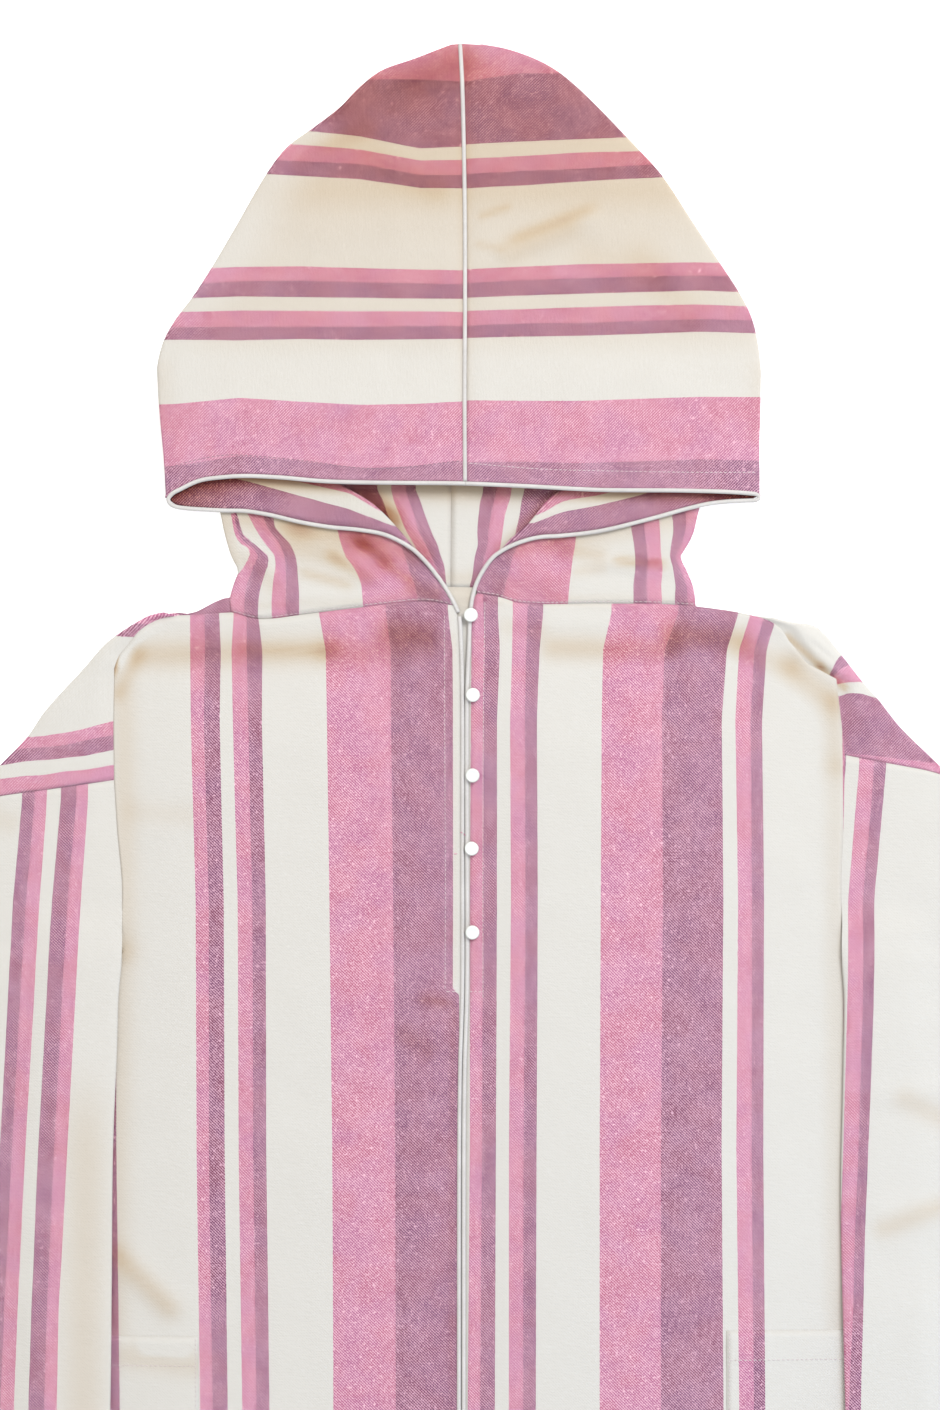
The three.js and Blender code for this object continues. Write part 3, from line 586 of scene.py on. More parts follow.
STRIPE_GUIDES = {
    "front_left": Guides(False, (-4.8, -30.6, -78.2, -200.6, -262, -265, -370.6, -540.6), [
        (176.7, -187, -187, -186.3, -182.9, -182.6, -182.6, -182.2, -179.9),
        (166.9, -176.5, -176.1, -176.8, -173.4, -173.4, -173.4, -173.4, -171),
        (157.4, -167.3, -165.9, -166.6, -163.9, -163.6, -163.6, -163.2, -161.2),
        (147.6, -156.4, -158.4, -157.1, -153.7, -153.4, -153.4, -153, -150.6),
        (137.8, -148.2, -148.2, -146.9, -144.2, -143.9, -143.9, -143.5, -141.4),
        (128, -140.1, -136.7, -137, -134.3, -134.2, -134.2, -134, -131.9),
        (85, -99.3, -94.5, -93.5, -91.8, -91.1, -91.1, -89.8, -89.1),
        (42.5, -53.7, -50.3, -50, -48.6, -48.1, -48.1, -47.3, -46.9),
        (0, -11.6, -8.5, -8.2, -8.2, -8.4, -4, -4, -4),
    ]),
    "front_right": Guides(False, (-4.8, -30.6, -78.2, -200.6, -370.6, -540.6), [
        (176.7, 4.4, 4.4, 4.1, 3.4, 3.4, 2),
        (166.9, 12.9, 14.3, 12.9, 12.9, 12.2, 10.9),
        (157.4, 22.4, 23.8, 21.8, 21.8, 21.1, 20.4),
        (147.6, 33.3, 32.6, 31.3, 32, 30.6, 30.6),
        (137.8, 42.8, 41.8, 41.1, 41.5, 40.1, 39.8),
        (128, 54.4, 51.7, 49.6, 50.3, 49.6, 49),
        (85, 100, 94.2, 93.2, 92.5, 91.8, 91.8),
        (42.5, 145.5, 136, 134, 134.6, 133.3, 133.3),
        (0, 186.3, 178.2, 174.4, 175.4, 174.1, 175.4),
        (-9.8, 195.2, 187, 184.3, 186.3, 185, 187),
        (-19.6, 204.7, 197.2, 194.5, 195.2, 195.2, 196.5),
        (-29.4, 213.5, 206, 202.6, 204, 203.3, 204.7),
    ]),
    "back": Guides(False, (-1300, 0), [(106.5, 0, 0), (128, -21.5, -21.5)]),
    "lower_sleeve_left": Guides(False, (-132.6, -200.6, -268.6, -370.6, -472.6, -540.6), [
        (128, -301.9, -308, -311.4, -316.9, -322.3, -325.7),
        (137.8, -292.4, -298.5, -302.6, -308, -312.8, -315.5),
        (147.6, -284.9, -289.7, -293.1, -299.2, -304, -306.7),
        (157.4, -274.7, -280.8, -284.2, -289.7, -293.8, -295.8),
        (166.9, -264.5, -270.6, -274, -279.5, -283.6, -285.6),
        (176.7, -256.4, -261.1, -264.5, -270, -275.4, -276.8),
    ]),
    "lower_sleeve_right": Guides(False, (-108.8, -132.6, -200.6, -268.6, -370.6, -472.6, -540.6), [
        (260, 259.1, 257, 251.6, 250.9, 248.2, 245.5, 242.8),
        (250.3, 268.6, 266.6, 261.1, 260.4, 257.7, 255, 252.3),
        (240.5, 278.1, 276.8, 270.6, 270.6, 267.2, 263.8, 261.1),
        (230.7, 287, 284.9, 278.8, 278.1, 274, 270.6, 269.3),
    ]),
    "upper_sleeve_left": Guides(True, (-239.4, -258.4, -272, -285.6, -299.2, -316.2), [
        (250.3, -3.4, -7.5, -10.2, -12.9, -14.3, -17),
        (240.5, -12.9, -17, -19.7, -22.4, -24.5, -27.2),
        (230.7, -22.4, -26.5, -29.9, -32.6, -34.7, -37.4),
        (176.7, -78.9, -84.3, -87, -89.1, -90.4, -93.2),
        (166.9, -89.1, -92.5, -95.9, -97.2, -97.9, -101.3),
        (157.4, -98.6, -102.7, -104, -105.4, -106.1, -109.5),
        (147.6, -109.5, -112.9, -113.6, -116.3, -117, -119),
        (137.8, -119.7, -121, -123.1, -125.8, -126.5, -129.9),
    ]),
    "upper_sleeve_right": Guides(True, (244, 248, 252.5, 261.8, 270, 280, 319.6), [
        (230.7, -56, -47, -36, -30, -28, -26, -20),
        (240.5, -64, -54, -44.5, -40, -38, -37, -32),
        (250.3, -72, -61, -53.5, -52, -52.4, -53, -55),
        (260, -80, -70, -62.5, -59.6, -60.5, -63.9, -72),
        (302.5, -120, -112, -104, -101, -101.5, -102.5, -107.5),
    ]),
    "hood_left": Guides(True, (-197.2, -153, -112.2, -71.4, -30.6, -1.4), [
        (42.5, 94, 101, 97.3, 92.4, 94, 97.5),
        (85, 136, 140.1, 137.4, 135.3, 136, 137.7),
        (128, 179.2, 178.5, 179.5, 178.8, 179.2, 179.5),
        (137.8, 188.4, 188.4, 188.4, 188.4, 189, 189),
        (147.6, 198.2, 199.2, 198.9, 198.6, 198.6, 198.2),
        (157.4, 208.1, 209.4, 208.8, 208.4, 207.7, 207.7),
        (166.9, 216.9, 219, 219.6, 218.3, 217.6, 216.9),
        (176.7, 227.8, 229.5, 229.8, 228.5, 227.5, 227.1),
        (230.7, 295.8, 293.1, 290.4, 288, 282.2, 281.9),
        (240.5, 306.7, 304, 301.2, 299.2, 291.7, 291.7),
        (250.3, 317.6, 314.8, 312.1, 308.7, 301.2, 301.6),
        (260, 328.4, 325.7, 322.7, 318.2, 309.7, 311.1),
        (302.5, 363.8, 361.8, 359, 357, 357, 355.3),
    ]),
    "hood_right": Guides(True, (1.4, 37.4, 78.2, 119, 159.8, 193.8), [
        (42.5, 96.6, 96.9, 95.9, 97.2, 98.6, 97.9),
        (85, 138.4, 138, 138, 139.4, 140.8, 140.8),
        (128, 180.2, 180.9, 181.6, 182.9, 184.6, 183.6),
        (137.8, 189.4, 190.7, 191.1, 192.4, 193.8, 193.1),
        (147.6, 198.9, 199.9, 201.3, 202.6, 203.3, 202),
        (157.4, 208.4, 209.8, 211.1, 212.2, 213.5, 212.2),
        (166.9, 217.9, 219.6, 221, 222.4, 223, 222.4),
        (176.7, 227.8, 229.5, 231.2, 231.9, 232.6, 231.9),
        (230.7, 281.9, 283.6, 286.6, 289, 291, 292.4),
        (240.5, 292.4, 294.4, 295.8, 298.5, 300.6, 301.9),
        (250.3, 302.3, 304, 306.7, 307.7, 310.1, 311.4),
        (260, 312.8, 314.5, 316.2, 318.2, 320.3, 321.6),
        (302.5, 355.6, 361.1, 361.1, 359.7, 358.4, 357),
    ]),
    "neck_left": Guides(False, (62.6, 57.8, 51, 44.2, 37.4, 32.6, 27.2, 20.4, 13.6, 4.8, -4.8), [
        (176.7, -156.6, -157.7, -157.7, -154, -145.2, -145.8, -149.2, -154.5, -158.1, -159.4, -159.4),
        (166.9, -156.5, -156.4, -154.7, -152.2, -142.8, -140.3, -143.7, -145.4, -147.9, -149.2, -149.6),
        (157.4, -156.4, -154.5, -153.4, -147.7, -138.4, -132.9, -133.3, -136, -138.6, -140.3, -140.9),
        (147.6, -147.5, -144.9, -141.1, -137.3, -131.8, -128.8, -128.8, -129.6, -130.1, -130.9, -130.7),
        (137.8, -136.9, -136, -133.5, -126.7, -124.1, -122.4, -122.4, -121.6, -121.6, -121.6, -121.6),
        (128, -130.5, -129.6, -128.4, -120, -116, -114.2, -113.2, -113, -112.2, -111.8, -111.8),
        (85, -89.7, -88.2, -86.4, -85, -82.9, -80.9, -76.3, -72.3, -70, -69.4, -68.7),
        (42.5, -51.9, -49.2, -45.6, -44.2, -42.4, -40.8, -39.1, -36.7, -34, -32, -31.3),
        (20, -28.1, -25.6, -22.4, -20.6, -19.2, -18.4, -17.1, -15.9, -15, -13.6, -12.9),
    ]),
    "neck_right": Guides(False, (71.4, 61.2, 51, 40.8, 32.6, 23.8, 13.6, 4.8, -4.8), [
        (20, 23.8, 21.8, 19.7, 17.7, 15.6, 12.9, 10.9, 9.5, 9.5),
        (42.5, 54.4, 51, 44.2, 36, 32, 29.9, 27.2, 25.8, 25.8),
        (85, 76.8, 76.2, 75.5, 74.8, 73.1, 72.1, 70.7, 70, 69.4),
        (128, 110.8, 111.5, 112.2, 114.2, 114.9, 114.9, 113.6, 113.6, 113.6),
        (137.8, 121, 121, 121.7, 123.1, 124.1, 123.8, 123.1, 123.8, 123.8),
        (147.6, 131.2, 131.2, 131.9, 132.6, 133.3, 134, 132.6, 133.3, 133.3),
        (157.4, 140.8, 140.8, 142.1, 140.1, 139.4, 142.1, 143.5, 142.8, 142.8),
        (166.9, 150.3, 149.6, 150.3, 146.9, 142.8, 146.2, 150.3, 151, 151),
        (176.7, 159.8, 158.4, 155.7, 151, 145.5, 150.3, 155.7, 157.8, 158.4),
    ]),
    "flap_left": Guides(True, (-200, -147.6, -112, -78.2, -46.9), [
        (280, 64, 62, 55, 49, 40),
        (260, 96, 84, 74, 64.6, 53),
        (250.4, 108, 95, 84, 76.5, 57),
        (240.5, 118, 105, 94, 86, 66),
    ]),
    "flap_right": Guides(True, (40.8, 51, 66.6, 91.8, 119, 147.6, 200), [
        (280, 40, 43, 46, 50, 56, 63, 68),
        (260, 54.4, 57.5, 63.4, 68, 74.8, 84, 98),
        (250.4, 56, 61.5, 71, 75, 82, 92, 106),
        (240.5, 64, 70, 80, 84, 91, 101, 116),
    ]),
    "hood_inside": Guides(False, (78.2, 71.4, 61.2, 51, 40.8, 32.6, 23.8, 13.6), [
        (260, -59.8, -55.8, -52.4, -46.9, -41.5, -36, -30.6, -23.8),
        (250.3, -49.6, -48.3, -44.2, -40.1, -34, -29.9, -25.8, -19.7),
        (240.5, -39.4, -38.1, -34, -32, -26.5, -22.4, -18.4, -15),
        (230.7, -33, -29.9, -26.5, -22.4, -17.7, -15, -12.9, -10.9),
        (220, -22, -20, -17, -14, -12, -11.5, -11, -10),
        (230.7, 12.2, 9.5, 8.8, 8.2, 8.2, 6.8, 5.4, 3.4),
        (240.5, 21.4, 19.7, 17.7, 15.6, 15, 12.9, 10.9, 8.2),
        (250.3, 31.3, 29.9, 26.2, 25.2, 23.8, 21.8, 19.7, 17),
        (260, 40.5, 38.4, 37.4, 34.7, 32.6, 30.6, 28.6, 26.5),
    ]),
}
print(len(STRIPE_GUIDES), "layers have their own stripe lines")

# %% [markdown]
# ## From nets to sheets
# A piece can be one net, or several that meet in folds. The nets are put into one mesh, doubled points
# are welded, and Solidify makes the cloth as thick as it is. The place across the bolt, the weave's
# directions and a painted soft shade that gathers in deep folds are kept on each face corner as two UV
# maps. A corner, unlike a point, lets two layers that share a fold keep stripes of their own.

# %% Cloth from nets
WELD_WITHIN = 0.00004


def sheet_piece(name, nets, nodes, thickness=CLOTH):
    """One piece of cloth from its nets: each is (grid, guides, painted shade)."""
    points, faces, weave, marks = [], [], [], []
    for grid, guides, shade in nets:
        rows, columns = grid.shape[:2]
        start = sum(len(each) for each in points)
        flat = grid.reshape(-1, 3)
        points.append(flat)
        x, y = flat[:, 0], flat[:, 1]
        place, across, along = STRIPE_GUIDES[guides].read(x, y)
        corner = (np.arange(rows - 1)[:, None] * columns + np.arange(columns - 1)).ravel()
        quads = corner[:, None] + [0, 1, columns + 1, columns]
        faces.append(quads + start)
        weave.append(np.column_stack([across, along])[quads].reshape(-1, 2) / 1000)
        # The painted shade at each point: warm up to 1, dark up to 2, paler below 0.
        painted_shade_depth = np.clip(shade(x, y), -1, 2)
        marks.append(np.column_stack([place / 1000, painted_shade_depth])[quads].reshape(-1, 2))
    mesh = bpy.data.meshes.new(name)
    mesh.from_pydata(metres(np.vstack(points)).tolist(), [], np.vstack(faces).tolist())
    for title, values in (("weave", weave), ("marks", marks)):
        mesh.uv_layers.new(name=title).data.foreach_set("uv", np.vstack(values).ravel())
    weld(mesh)
    return finished(name, mesh, nodes, COTTON, thickness)


def weld(mesh):
    work = bmesh.new()
    work.from_mesh(mesh)
    bmesh.ops.remove_doubles(work, verts=work.verts, dist=WELD_WITHIN)
    bmesh.ops.recalc_face_normals(work, faces=work.faces)
    work.to_mesh(mesh)
    work.free()


def finished(name, mesh, nodes, material, thickness=0.0):
    """The piece in its place, riding on the tunic's one body."""
    mesh.materials.append(material)
    mesh.shade_smooth()
    piece = bpy.data.objects.new(name, mesh)
    bpy.context.scene.collection.objects.link(piece)
    if thickness:
        solid = piece.modifiers.new("cloth", "SOLIDIFY")
        solid.thickness = thickness / 1000
        solid.offset = 0
    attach(piece, "root")
    if nodes:
        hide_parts(*nodes)
    print(name, len(mesh.polygons), "faces")
    return piece


def level(k):
    """A layer that lies flat, k layers up."""
    return lambda x, y: np.full(np.shape(x), LEVEL[k])


def painted(table):
    """The painted shade that a table of soft lines gives; a minus amount paints coloured stripes paler."""
    return lambda x, y: folds(table, x, y)


print("cloth", CLOTH, "mm thick, in layers", LAYER, "mm apart")

# %% [markdown]
# ## The seams
# Two pieces sewn together share one seam, so each seam is drafted once, with its points, and both pieces
# are cut beside it, a hair apart. This is the list a dressmaker would mark on the cloth.

# %% Seams
NECK_SEAM = {
    "left": [(-8.4, -0.2), (-27.2, 2.7), (-57.8, 0), (-91.8, -4.1), (-112.2, -6.8), (-140.8, -9.5),
             (-158.4, -5)],
    "right": [(8.4, 8), (23.8, 5.4), (37.4, 1.4), (91.8, 1), (132.6, 0.7), (156.4, -0.7)],
}
BACK_NECK = {
    "left": [(-10, 12.5), (-60, 9.5), (-115, 3), (-158.4, -5)],
    "right": [(-10, 12.5), (50, 10.5), (110, 5), (156.4, -0.7)],
}
SHOULDER = {
    "left": [(-158.4, -5), (-187, -6.8), (-201, -7.6), (-211, -10.6), (-221, -17), (-228.5, -25.8),
             (-235, -34), (-238.5, -43)],
    "right": [(156.4, -0.7), (185, -4.8), (206, -10.4), (215.5, -16.5), (220, -23.8), (226, -31),
              (232, -38.8), (241, -44), (252.5, -50)],
}
ARMHOLE_UPPER = {
    "left": [(-238.5, -43), (-239, -80), (-238.6, -119)],
    "right": [(252.5, -50), (255.5, -75), (258.4, -102)],
}
ARMHOLE_LOWER = {
    "left": [(-238.6, -119), (-236.4, -153), (-232.9, -196), (-236.2, UNDERARM)],
    "right": [(258.4, -102), (257.5, -150), (256.2, -196), (259, UNDERARM)],
}
SIDE_SEAM = {
    "left": [(-236.2, UNDERARM), (-244, -250), (-258, -268), (-265, -320), (-278, -700), (-300, HEM)],
    "right": [(259, UNDERARM), (267, -250), (280, -268), (286, -320), (297, -700), (315, HEM)],
}
SLEEVE_SEAM = {
    "left": [(-238.6, -119), (-280, -125), (-316.2, -130), (-342, -135)],
    "right": [(258.4, -102), (290, -108), (319.6, -114), (332, -119)],
}
NECK_EDGE = {
    "left": [(-36, 38.2), (-25.4, 27.9), (-15.9, 15.6), (-9, 4.4), (-4.6, -4)],
    "right": [(26.5, 37.7), (18.8, 32.1), (11.8, 22.6), (7.5, 13.9), (4.9, 4.4), (3.6, -4)],
}
FRONT_CORDS = {
    "left": [(-4.5, -5), (-2.8, -25), (-1.9, -60), (-1.8, -160), (-1.8, SLIT_END), (-3.5, -323),
             (-4.2, -560), (-4.2, HEM)],
    "right": [(3.6, -5), (2.8, -25), (1.4, -60), (1.3, -160), (1.3, SLIT_END), (-0.4, -323),
              (-0.9, -560), (-0.9, HEM)],
}
SEAM_STEPS = {"neck": 40, "back_neck": 34, "shoulder": 32, "upper": 18, "lower": 28, "sleeve": 26}
SIDE_STEPS = (24, 180)
CORD_STEPS = 400
MIDDLE_ROWS = 70


def draft_seams(side):
    """Every seam of one side, as points that both its pieces share."""
    tables = {"neck": NECK_SEAM, "back_neck": BACK_NECK, "shoulder": SHOULDER, "upper": ARMHOLE_UPPER,
              "lower": ARMHOLE_LOWER, "sleeve": SLEEVE_SEAM}
    seams = {name: run(tables[name][side], steps) for name, steps in SEAM_STEPS.items()}
    rows = SIDE_SEAM[side]
    side_seam = chain(run(rows[:4], SIDE_STEPS[0]), run(rows[3:], SIDE_STEPS[1]))
    body_side = chain(seams["upper"], seams["lower"], side_seam)
    cords = run([*NECK_EDGE[side][-3:-1], *FRONT_CORDS[side]], CORD_STEPS)
    drop = seams["neck"][0, 1] - body_side[0, 1]
    y = body_side[:, 1] + drop * (1 - ease(0, MIDDLE_ROWS, np.arange(len(body_side))))
    middle = np.column_stack([across_at(cords, y), y])
    return {**seams, "side": side_seam, "body_side": body_side, "middle": middle, "cords": cords}


SEAMS = {side: draft_seams(side) for side in SIDES}
print("points along each body side:", len(SEAMS["left"]["body_side"]))

# %% [markdown]
# ## The hood
# Each half of the hood is one sheet of cloth that turns back on itself four times. Its top layer lies
# uppermost. At the cheek the cloth rolls under, comes back as a narrow flap, rolls again and becomes the
# front of the neck, then goes round the side of the neck and becomes the back. Further up there is no
# flap, and the top simply turns over the outer fold into the back. Four nets that share their fold lines
# weld into this sheet.

# %% Lines of the hood
HOOD_SECTIONS = {
    "left": [(-202.6, 72), (-203.5, 90), (-204.7, 106), (-207.4, 135), (-208.8, 157), (-208.8, 162),
             (-204.7, 179), (-195.8, 195), (-185, 209), (-171.4, 230), (-154.4, 259), (-135.3, 292),
             (-121, 311), (-102, 325), (-85, 338), (-71.4, 352), (-57.1, 363), (-35, 371), (-17, 378),
             (-9, 381)],
    "right": [(199.6, 72), (199.6, 90), (199.4, 106), (200.3, 135), (200.9, 157), (200.6, 162),
              (198.5, 179), (194.6, 195), (188, 209), (174.6, 230), (155.3, 259), (133.5, 292),
              (116.5, 311), (103, 325), (90.5, 338), (76, 352), (62.5, 363), (48, 371), (28, 378),
              (12, 381)],
}
HOOD_SEAM = [(0, 82), (-0.3, 145), (0, 203), (-0.3, 282), (-2, 356), (-3.4, HOOD_TOP - 0.1)]
HOOD_BACK_SEAM = [(-10, 12.5), (-9, 120), (-6, 280), (-3.4, HOOD_TOP - 0.1)]
FACE_UPPER = {
    "left": [(0, 82.3), (-91.8, 83.6), (-125.8, 86.4), (-149.6, 87.4), (-163.2, 86.7), (-180.2, 84.3),
             (-193.8, 78.2), (-202.8, 72)],
    "right": [(0, 82.3), (40, 80.5), (91.8, 77.9), (146.2, 77.5), (180, 76.6), (194, 75.6), (200.6, 73.2)],
}
FACE_LOWER = {
    "left": [(-202.8, 72), (-195.8, 66.5), (-165.2, 64.3), (-149.6, 63.9), (-132.6, 61.2), (-112.2, 56.4),
             (-91.8, 53), (-71.4, 51), (-54, 47.6), (-36, 38.2)],
    "right": [(200.6, 73.2), (194, 70.9), (180, 70.4), (166.6, 69), (153, 66), (125.8, 58.5), (91.8, 50.3),
              (64.6, 47), (50, 46), (37, 42.5), (26.5, 37.7)],
}
CHEEK_ROLL = {
    "left": [(-36, 40), (-51.7, 57.8), (-62.6, 68), (-81.6, 79.6), (-105, 92), (-146, 119),
             (-208.8, 157)],
    "right": [(25, 39.5), (44.9, 56.4), (53.7, 68), (61.9, 75.5), (85, 86.4), (132.6, 112.2),
              (200.9, 157)],
}
NECK_FOLD = {
    "left": [(-158.4, -5), (-159.5, 3.4), (-156.4, 15.6), (-153.7, 23.1), (-158.4, 33.3), (-163.2, 49.6),
             (-166, 63.2), (-171, 79), (-186, 115), (-208.8, 157)],
    "right": [(156.4, -0.7), (155, 11.6), (149.6, 25), (146.2, 32.6), (150.3, 40), (154.4, 47.6),
              (159.1, 66.6), (164, 82), (180, 115), (200.9, 157)],
}
PLEAT_START, PLEAT_END = 118, 157
PLEAT_Z = 3.0
FLAP_ROWS, TOP_ROWS, EDGE_ROWS = 26, 72, 12
HOOD_FULL = 3.4
HOOD_CREASES = [
    (26, 238, 86, 263, 6, 1.3),
    (40, 226, 96, 246, -9, -0.8),
    (-180, 128, -60, 140, -16, 0.7),
    (-60, 160, -10, 168, -14, -0.6),
    (60, 150, 150, 158, -16, 0.6),
    (-120, 250, -30, 262, -14, 0.6),
    (-100, 300, -50, 345, -12, 0.6),
    (-60, 330, -20, 360, -9, -0.7),
    (60, 300, 110, 285, -14, 0.6),
    (-60, 100, -20, 104, -10, 0.8),
]


def hood_top(x, y):
    """Height of the uppermost layer: fuller in the middle of each half, thin at the top of the hood."""
    body = mix(LEVEL[3], 4.3, ease(130, 200, y)) - 1.2 * ease(220, 375, y)
    half = np.interp(y, *zip(*[(row[1], row[0]) for row in HOOD_SECTIONS["right"]]))
    inside = np.clip(1 - (np.abs(x) / np.maximum(half, 1)) ** 2, 0, 1)
    full = HOOD_FULL * np.sqrt(inside) * ease(0, 40, HOOD_TOP - y)
    seam = -1.0 * np.exp(-((x / 7) ** 2))
    return body + full + seam + folds(HOOD_CREASES, x, y)


def flap_height(x, y):
    """The narrow flap under the top layer, raised a little where it shows."""
    return np.minimum(LEVEL[2], hood_top(x, y) - LAYER) + 0.4 * np.exp(-(((y - 60) / 14) ** 2))


NECK_CREASES = {
    "left": [(-150, 36, -118, 8, 6, 0.9), (-146, 12, -128, 0, 5, 0.5), (-96, 40, -52, 12, 7, 0.8),
             (-74, 50, -36, 24, 6, 0.6), (-60, 20, -24, 8, 6, 0.7), (-110, 6, -70, 4, 5, 0.6)],
    "right": [(30, 30, 64, 34, 6, 0.9), (92, 28, 142, 25, 4, 1.0), (94, 20, 140, 17, 6, -0.5),
              (44, 14, 74, 20, 7, 0.6), (120, 52, 150, 40, 6, 0.5)],
}


def neck_height(x, y):
    """The front of the neck, with the creases of the side that the places are on."""
    return LEVEL[1] + folds(NECK_CREASES["right" if x.mean() > 0 else "left"], x, y)


print("a half hood has", FLAP_ROWS + TOP_ROWS, "rows over the top")

# %% [markdown]
# ## Shade and stripes on the hood
# In a deep fold light bounces between pink walls and comes out warmer and darker, and here that is painted
# into the cloth's colour. Soft lines of painted shade say where: each is a line, how far it reaches and
# how deep it is. A painted shade by height also makes the top redder and darker towards the crown, and
# paler low down by the face. Inside the neck the stripes run up, and turn to meet those of the top at the
# outer fold.

# %% Shade and stripes of the hood
# Soft lines of painted shade on the top layer: by the outer folds, along the seam, at the crown and in its
# creases.
HOOD_SHADE = [
    (-204, 90, -206, 160, 9, 0.2), (200, 90, 201, 160, 9, 0.2), (0, 110, 0, 376, 4, 0.25),
    (-85, 340, -4, 372, 16, 0.8), (22, 244, 96, 273, -4.5, 0.45), (18, 234, 84, 262, -9, 0.3),
    (6, 262, 34, 272, -3, 0.35), (4, 246, 30, 240, -3, 0.3), (84, 236, 130, 226, 12, 0.2),
    (-60, 300, -20, 282, 10, 0.3), (-110, 304, -70, 322, 8, 0.35), (120, 236, 150, 200, 12, 0.2),
]
# Painted shade by height on the top layer: redder and darker towards the crown, paler low by the face where
# it is below 0.
HOOD_PAINTED_SHADE_BY_HEIGHT = [(82, -0.5), (100, -0.45), (112, 0.0), (166, 0.08), (184, 0.34), (214, 0.42), (240, 0.38),
             (262, 0.5), (280, 0.8), (300, 0.75), (318, 0.82), (350, 0.8), (364, 0.7), (378, 0.35)]
# Soft lines of painted shade on the front of the neck: under the face piping and in its creases.
NECK_SHADE = [
    (-152, 61, -112, 54, 10, 0.7), (-112, 54, -70, 47, 13, 0.95), (-122, 38, -86, 30, 7, 0.4),
    (-70, 47, -36, 34, 9, 0.7), (36, 40, 64, 45, 8, 0.6), (64, 45, 150, 63, 10, 0.55),
    (-146, 30, -130, 14, 7, 0.35), (-98, 38, -58, 13, -5, 0.7), (-78, 46, -46, 26, -4, 0.9),
    (-64, 32, -32, 14, -4, 0.8), (-44, 13, -12, 6, -6, 0.7), (-118, 24, -72, 12, -4, 0.6),
    (62, 37, 100, 33, -5, 0.5), (96, 31, 142, 27, -3.5, 0.9), (26, 16, 60, 10, 7, 0.3),
    (70, 22, 100, 26, -4, 0.35), (-150, -1, -20, 5, 3, 0.2), (20, 6, 150, 2, 3, 0.2),
    (-157, 30, -166, 64, 5, 0.4),
]
# Soft lines of painted shade inside the hood, deepest just under the face opening's piping.
INSIDE_SHADE = [(-60, 82, 44, 81, 10, 1.1), (-76, 80, -50, 60, 8, 1.5), (-54, 62, -26, 34, 6, 0.8),
                (66, 80, 52, 58, 6, 1.2), (50, 60, 24, 32, 6, 0.7), (-24, 18, 20, 18, 5, 0.35),
                (-9, 20, -9, 80, 1.2, 0.2)]


def hood_edge(side, y):
    """How far out the hood's outer fold is at each height."""
    return across_at(np.array(HOOD_SECTIONS[side], float), y)


def face_edge(x):
    """How high the edge of the face opening is at each place across."""
    rows = FACE_UPPER["left"][:0:-1] + FACE_UPPER["right"]
    return np.interp(x, *zip(*rows))


def top_shade(x, y):
    """Painted shade of the top: redder and darker towards the crown, paler by the left edge, and its soft
    lines.
    """
    tone = np.interp(y, *zip(*HOOD_PAINTED_SHADE_BY_HEIGHT))
    return tone * (1 - 0.6 * ease(45, 5, x - hood_edge("left", y))) + folds(HOOD_SHADE, x, y)


def flap_shade(x, y):
    """Painted shade of the flap: darkest just under the edge of the face opening and out at the tip."""
    away = np.abs(x)
    under_edge = 1.5 * np.exp(-(((face_edge(x) - y) / 6) ** 2))
    return 0.1 + under_edge + 0.4 * ease(66, 84, y) * ease(60, 140, away) + 0.9 * ease(140, 196, away)


class TurnedGuides:
    """Stripes that run up the inside of the neck, and turn to meet the top's at its outer fold."""

    def __init__(self, side):
        self.side = side

    def read(self, x, y):
        inner = STRIPE_GUIDES["hood_inside"].read(x, y)[0] - REPEAT
        top = STRIPE_GUIDES[f"hood_{self.side}"].read(x, y)[0]
        away = np.abs(hood_edge(self.side, y) - x)
        by_edge = ease(60, 5, away) * ease(120, PLEAT_END, y)
        return mix(inner, top, np.maximum(ease(85, 235, y), by_edge)), x, y


for side in SIDES:
    STRIPE_GUIDES[f"hood_back_{side}"] = TurnedGuides(side)
print("soft lines of shade on the hood:", len(HOOD_SHADE) + len(NECK_SHADE) + len(INSIDE_SHADE))

# %% [markdown]
# ## Sewing the hood's nets
# Where two layers of one piece meet in a fold they share its line and its height. Past the end of the
# pleat the flap and the neck have run out, and only the top and the back are left.

# %% Both halves of the hood
FOLD, WIDE_FOLD = 0.9, 2.3
UPPER_STEPS, LOWER_STEPS, EDGE_STEPS = 52, 40, 60
BETWEEN = [(LEVEL[k] + LEVEL[k + 1]) / 2 for k in range(3)]


def towards_pleat(value, y):
    """Layers draw together to one height as they near the pleat's end."""
    return mix(value, PLEAT_Z, ease(PLEAT_START, PLEAT_END, y))


def fold_line(points, value):
    """A fold between two layers of the pleat."""
    return lambda k: (towards_pleat(value, points[k, 1]), FOLD)


def outer_fold(points, rows, value):
    """The hood's outer fold: a pleat's in its first rows, and then the one from the top to the back."""
    def at(k):
        x, y = points[k]
        if k <= rows:
            return towards_pleat(value, y), mix(FOLD, WIDE_FOLD, ease(PLEAT_START, PLEAT_END, y))
        half_way = (hood_top(x, y) + LEVEL[0]) / 2
        return mix(PLEAT_Z, half_way, ease(PLEAT_END, PLEAT_END + 20, y)), WIDE_FOLD
    return at


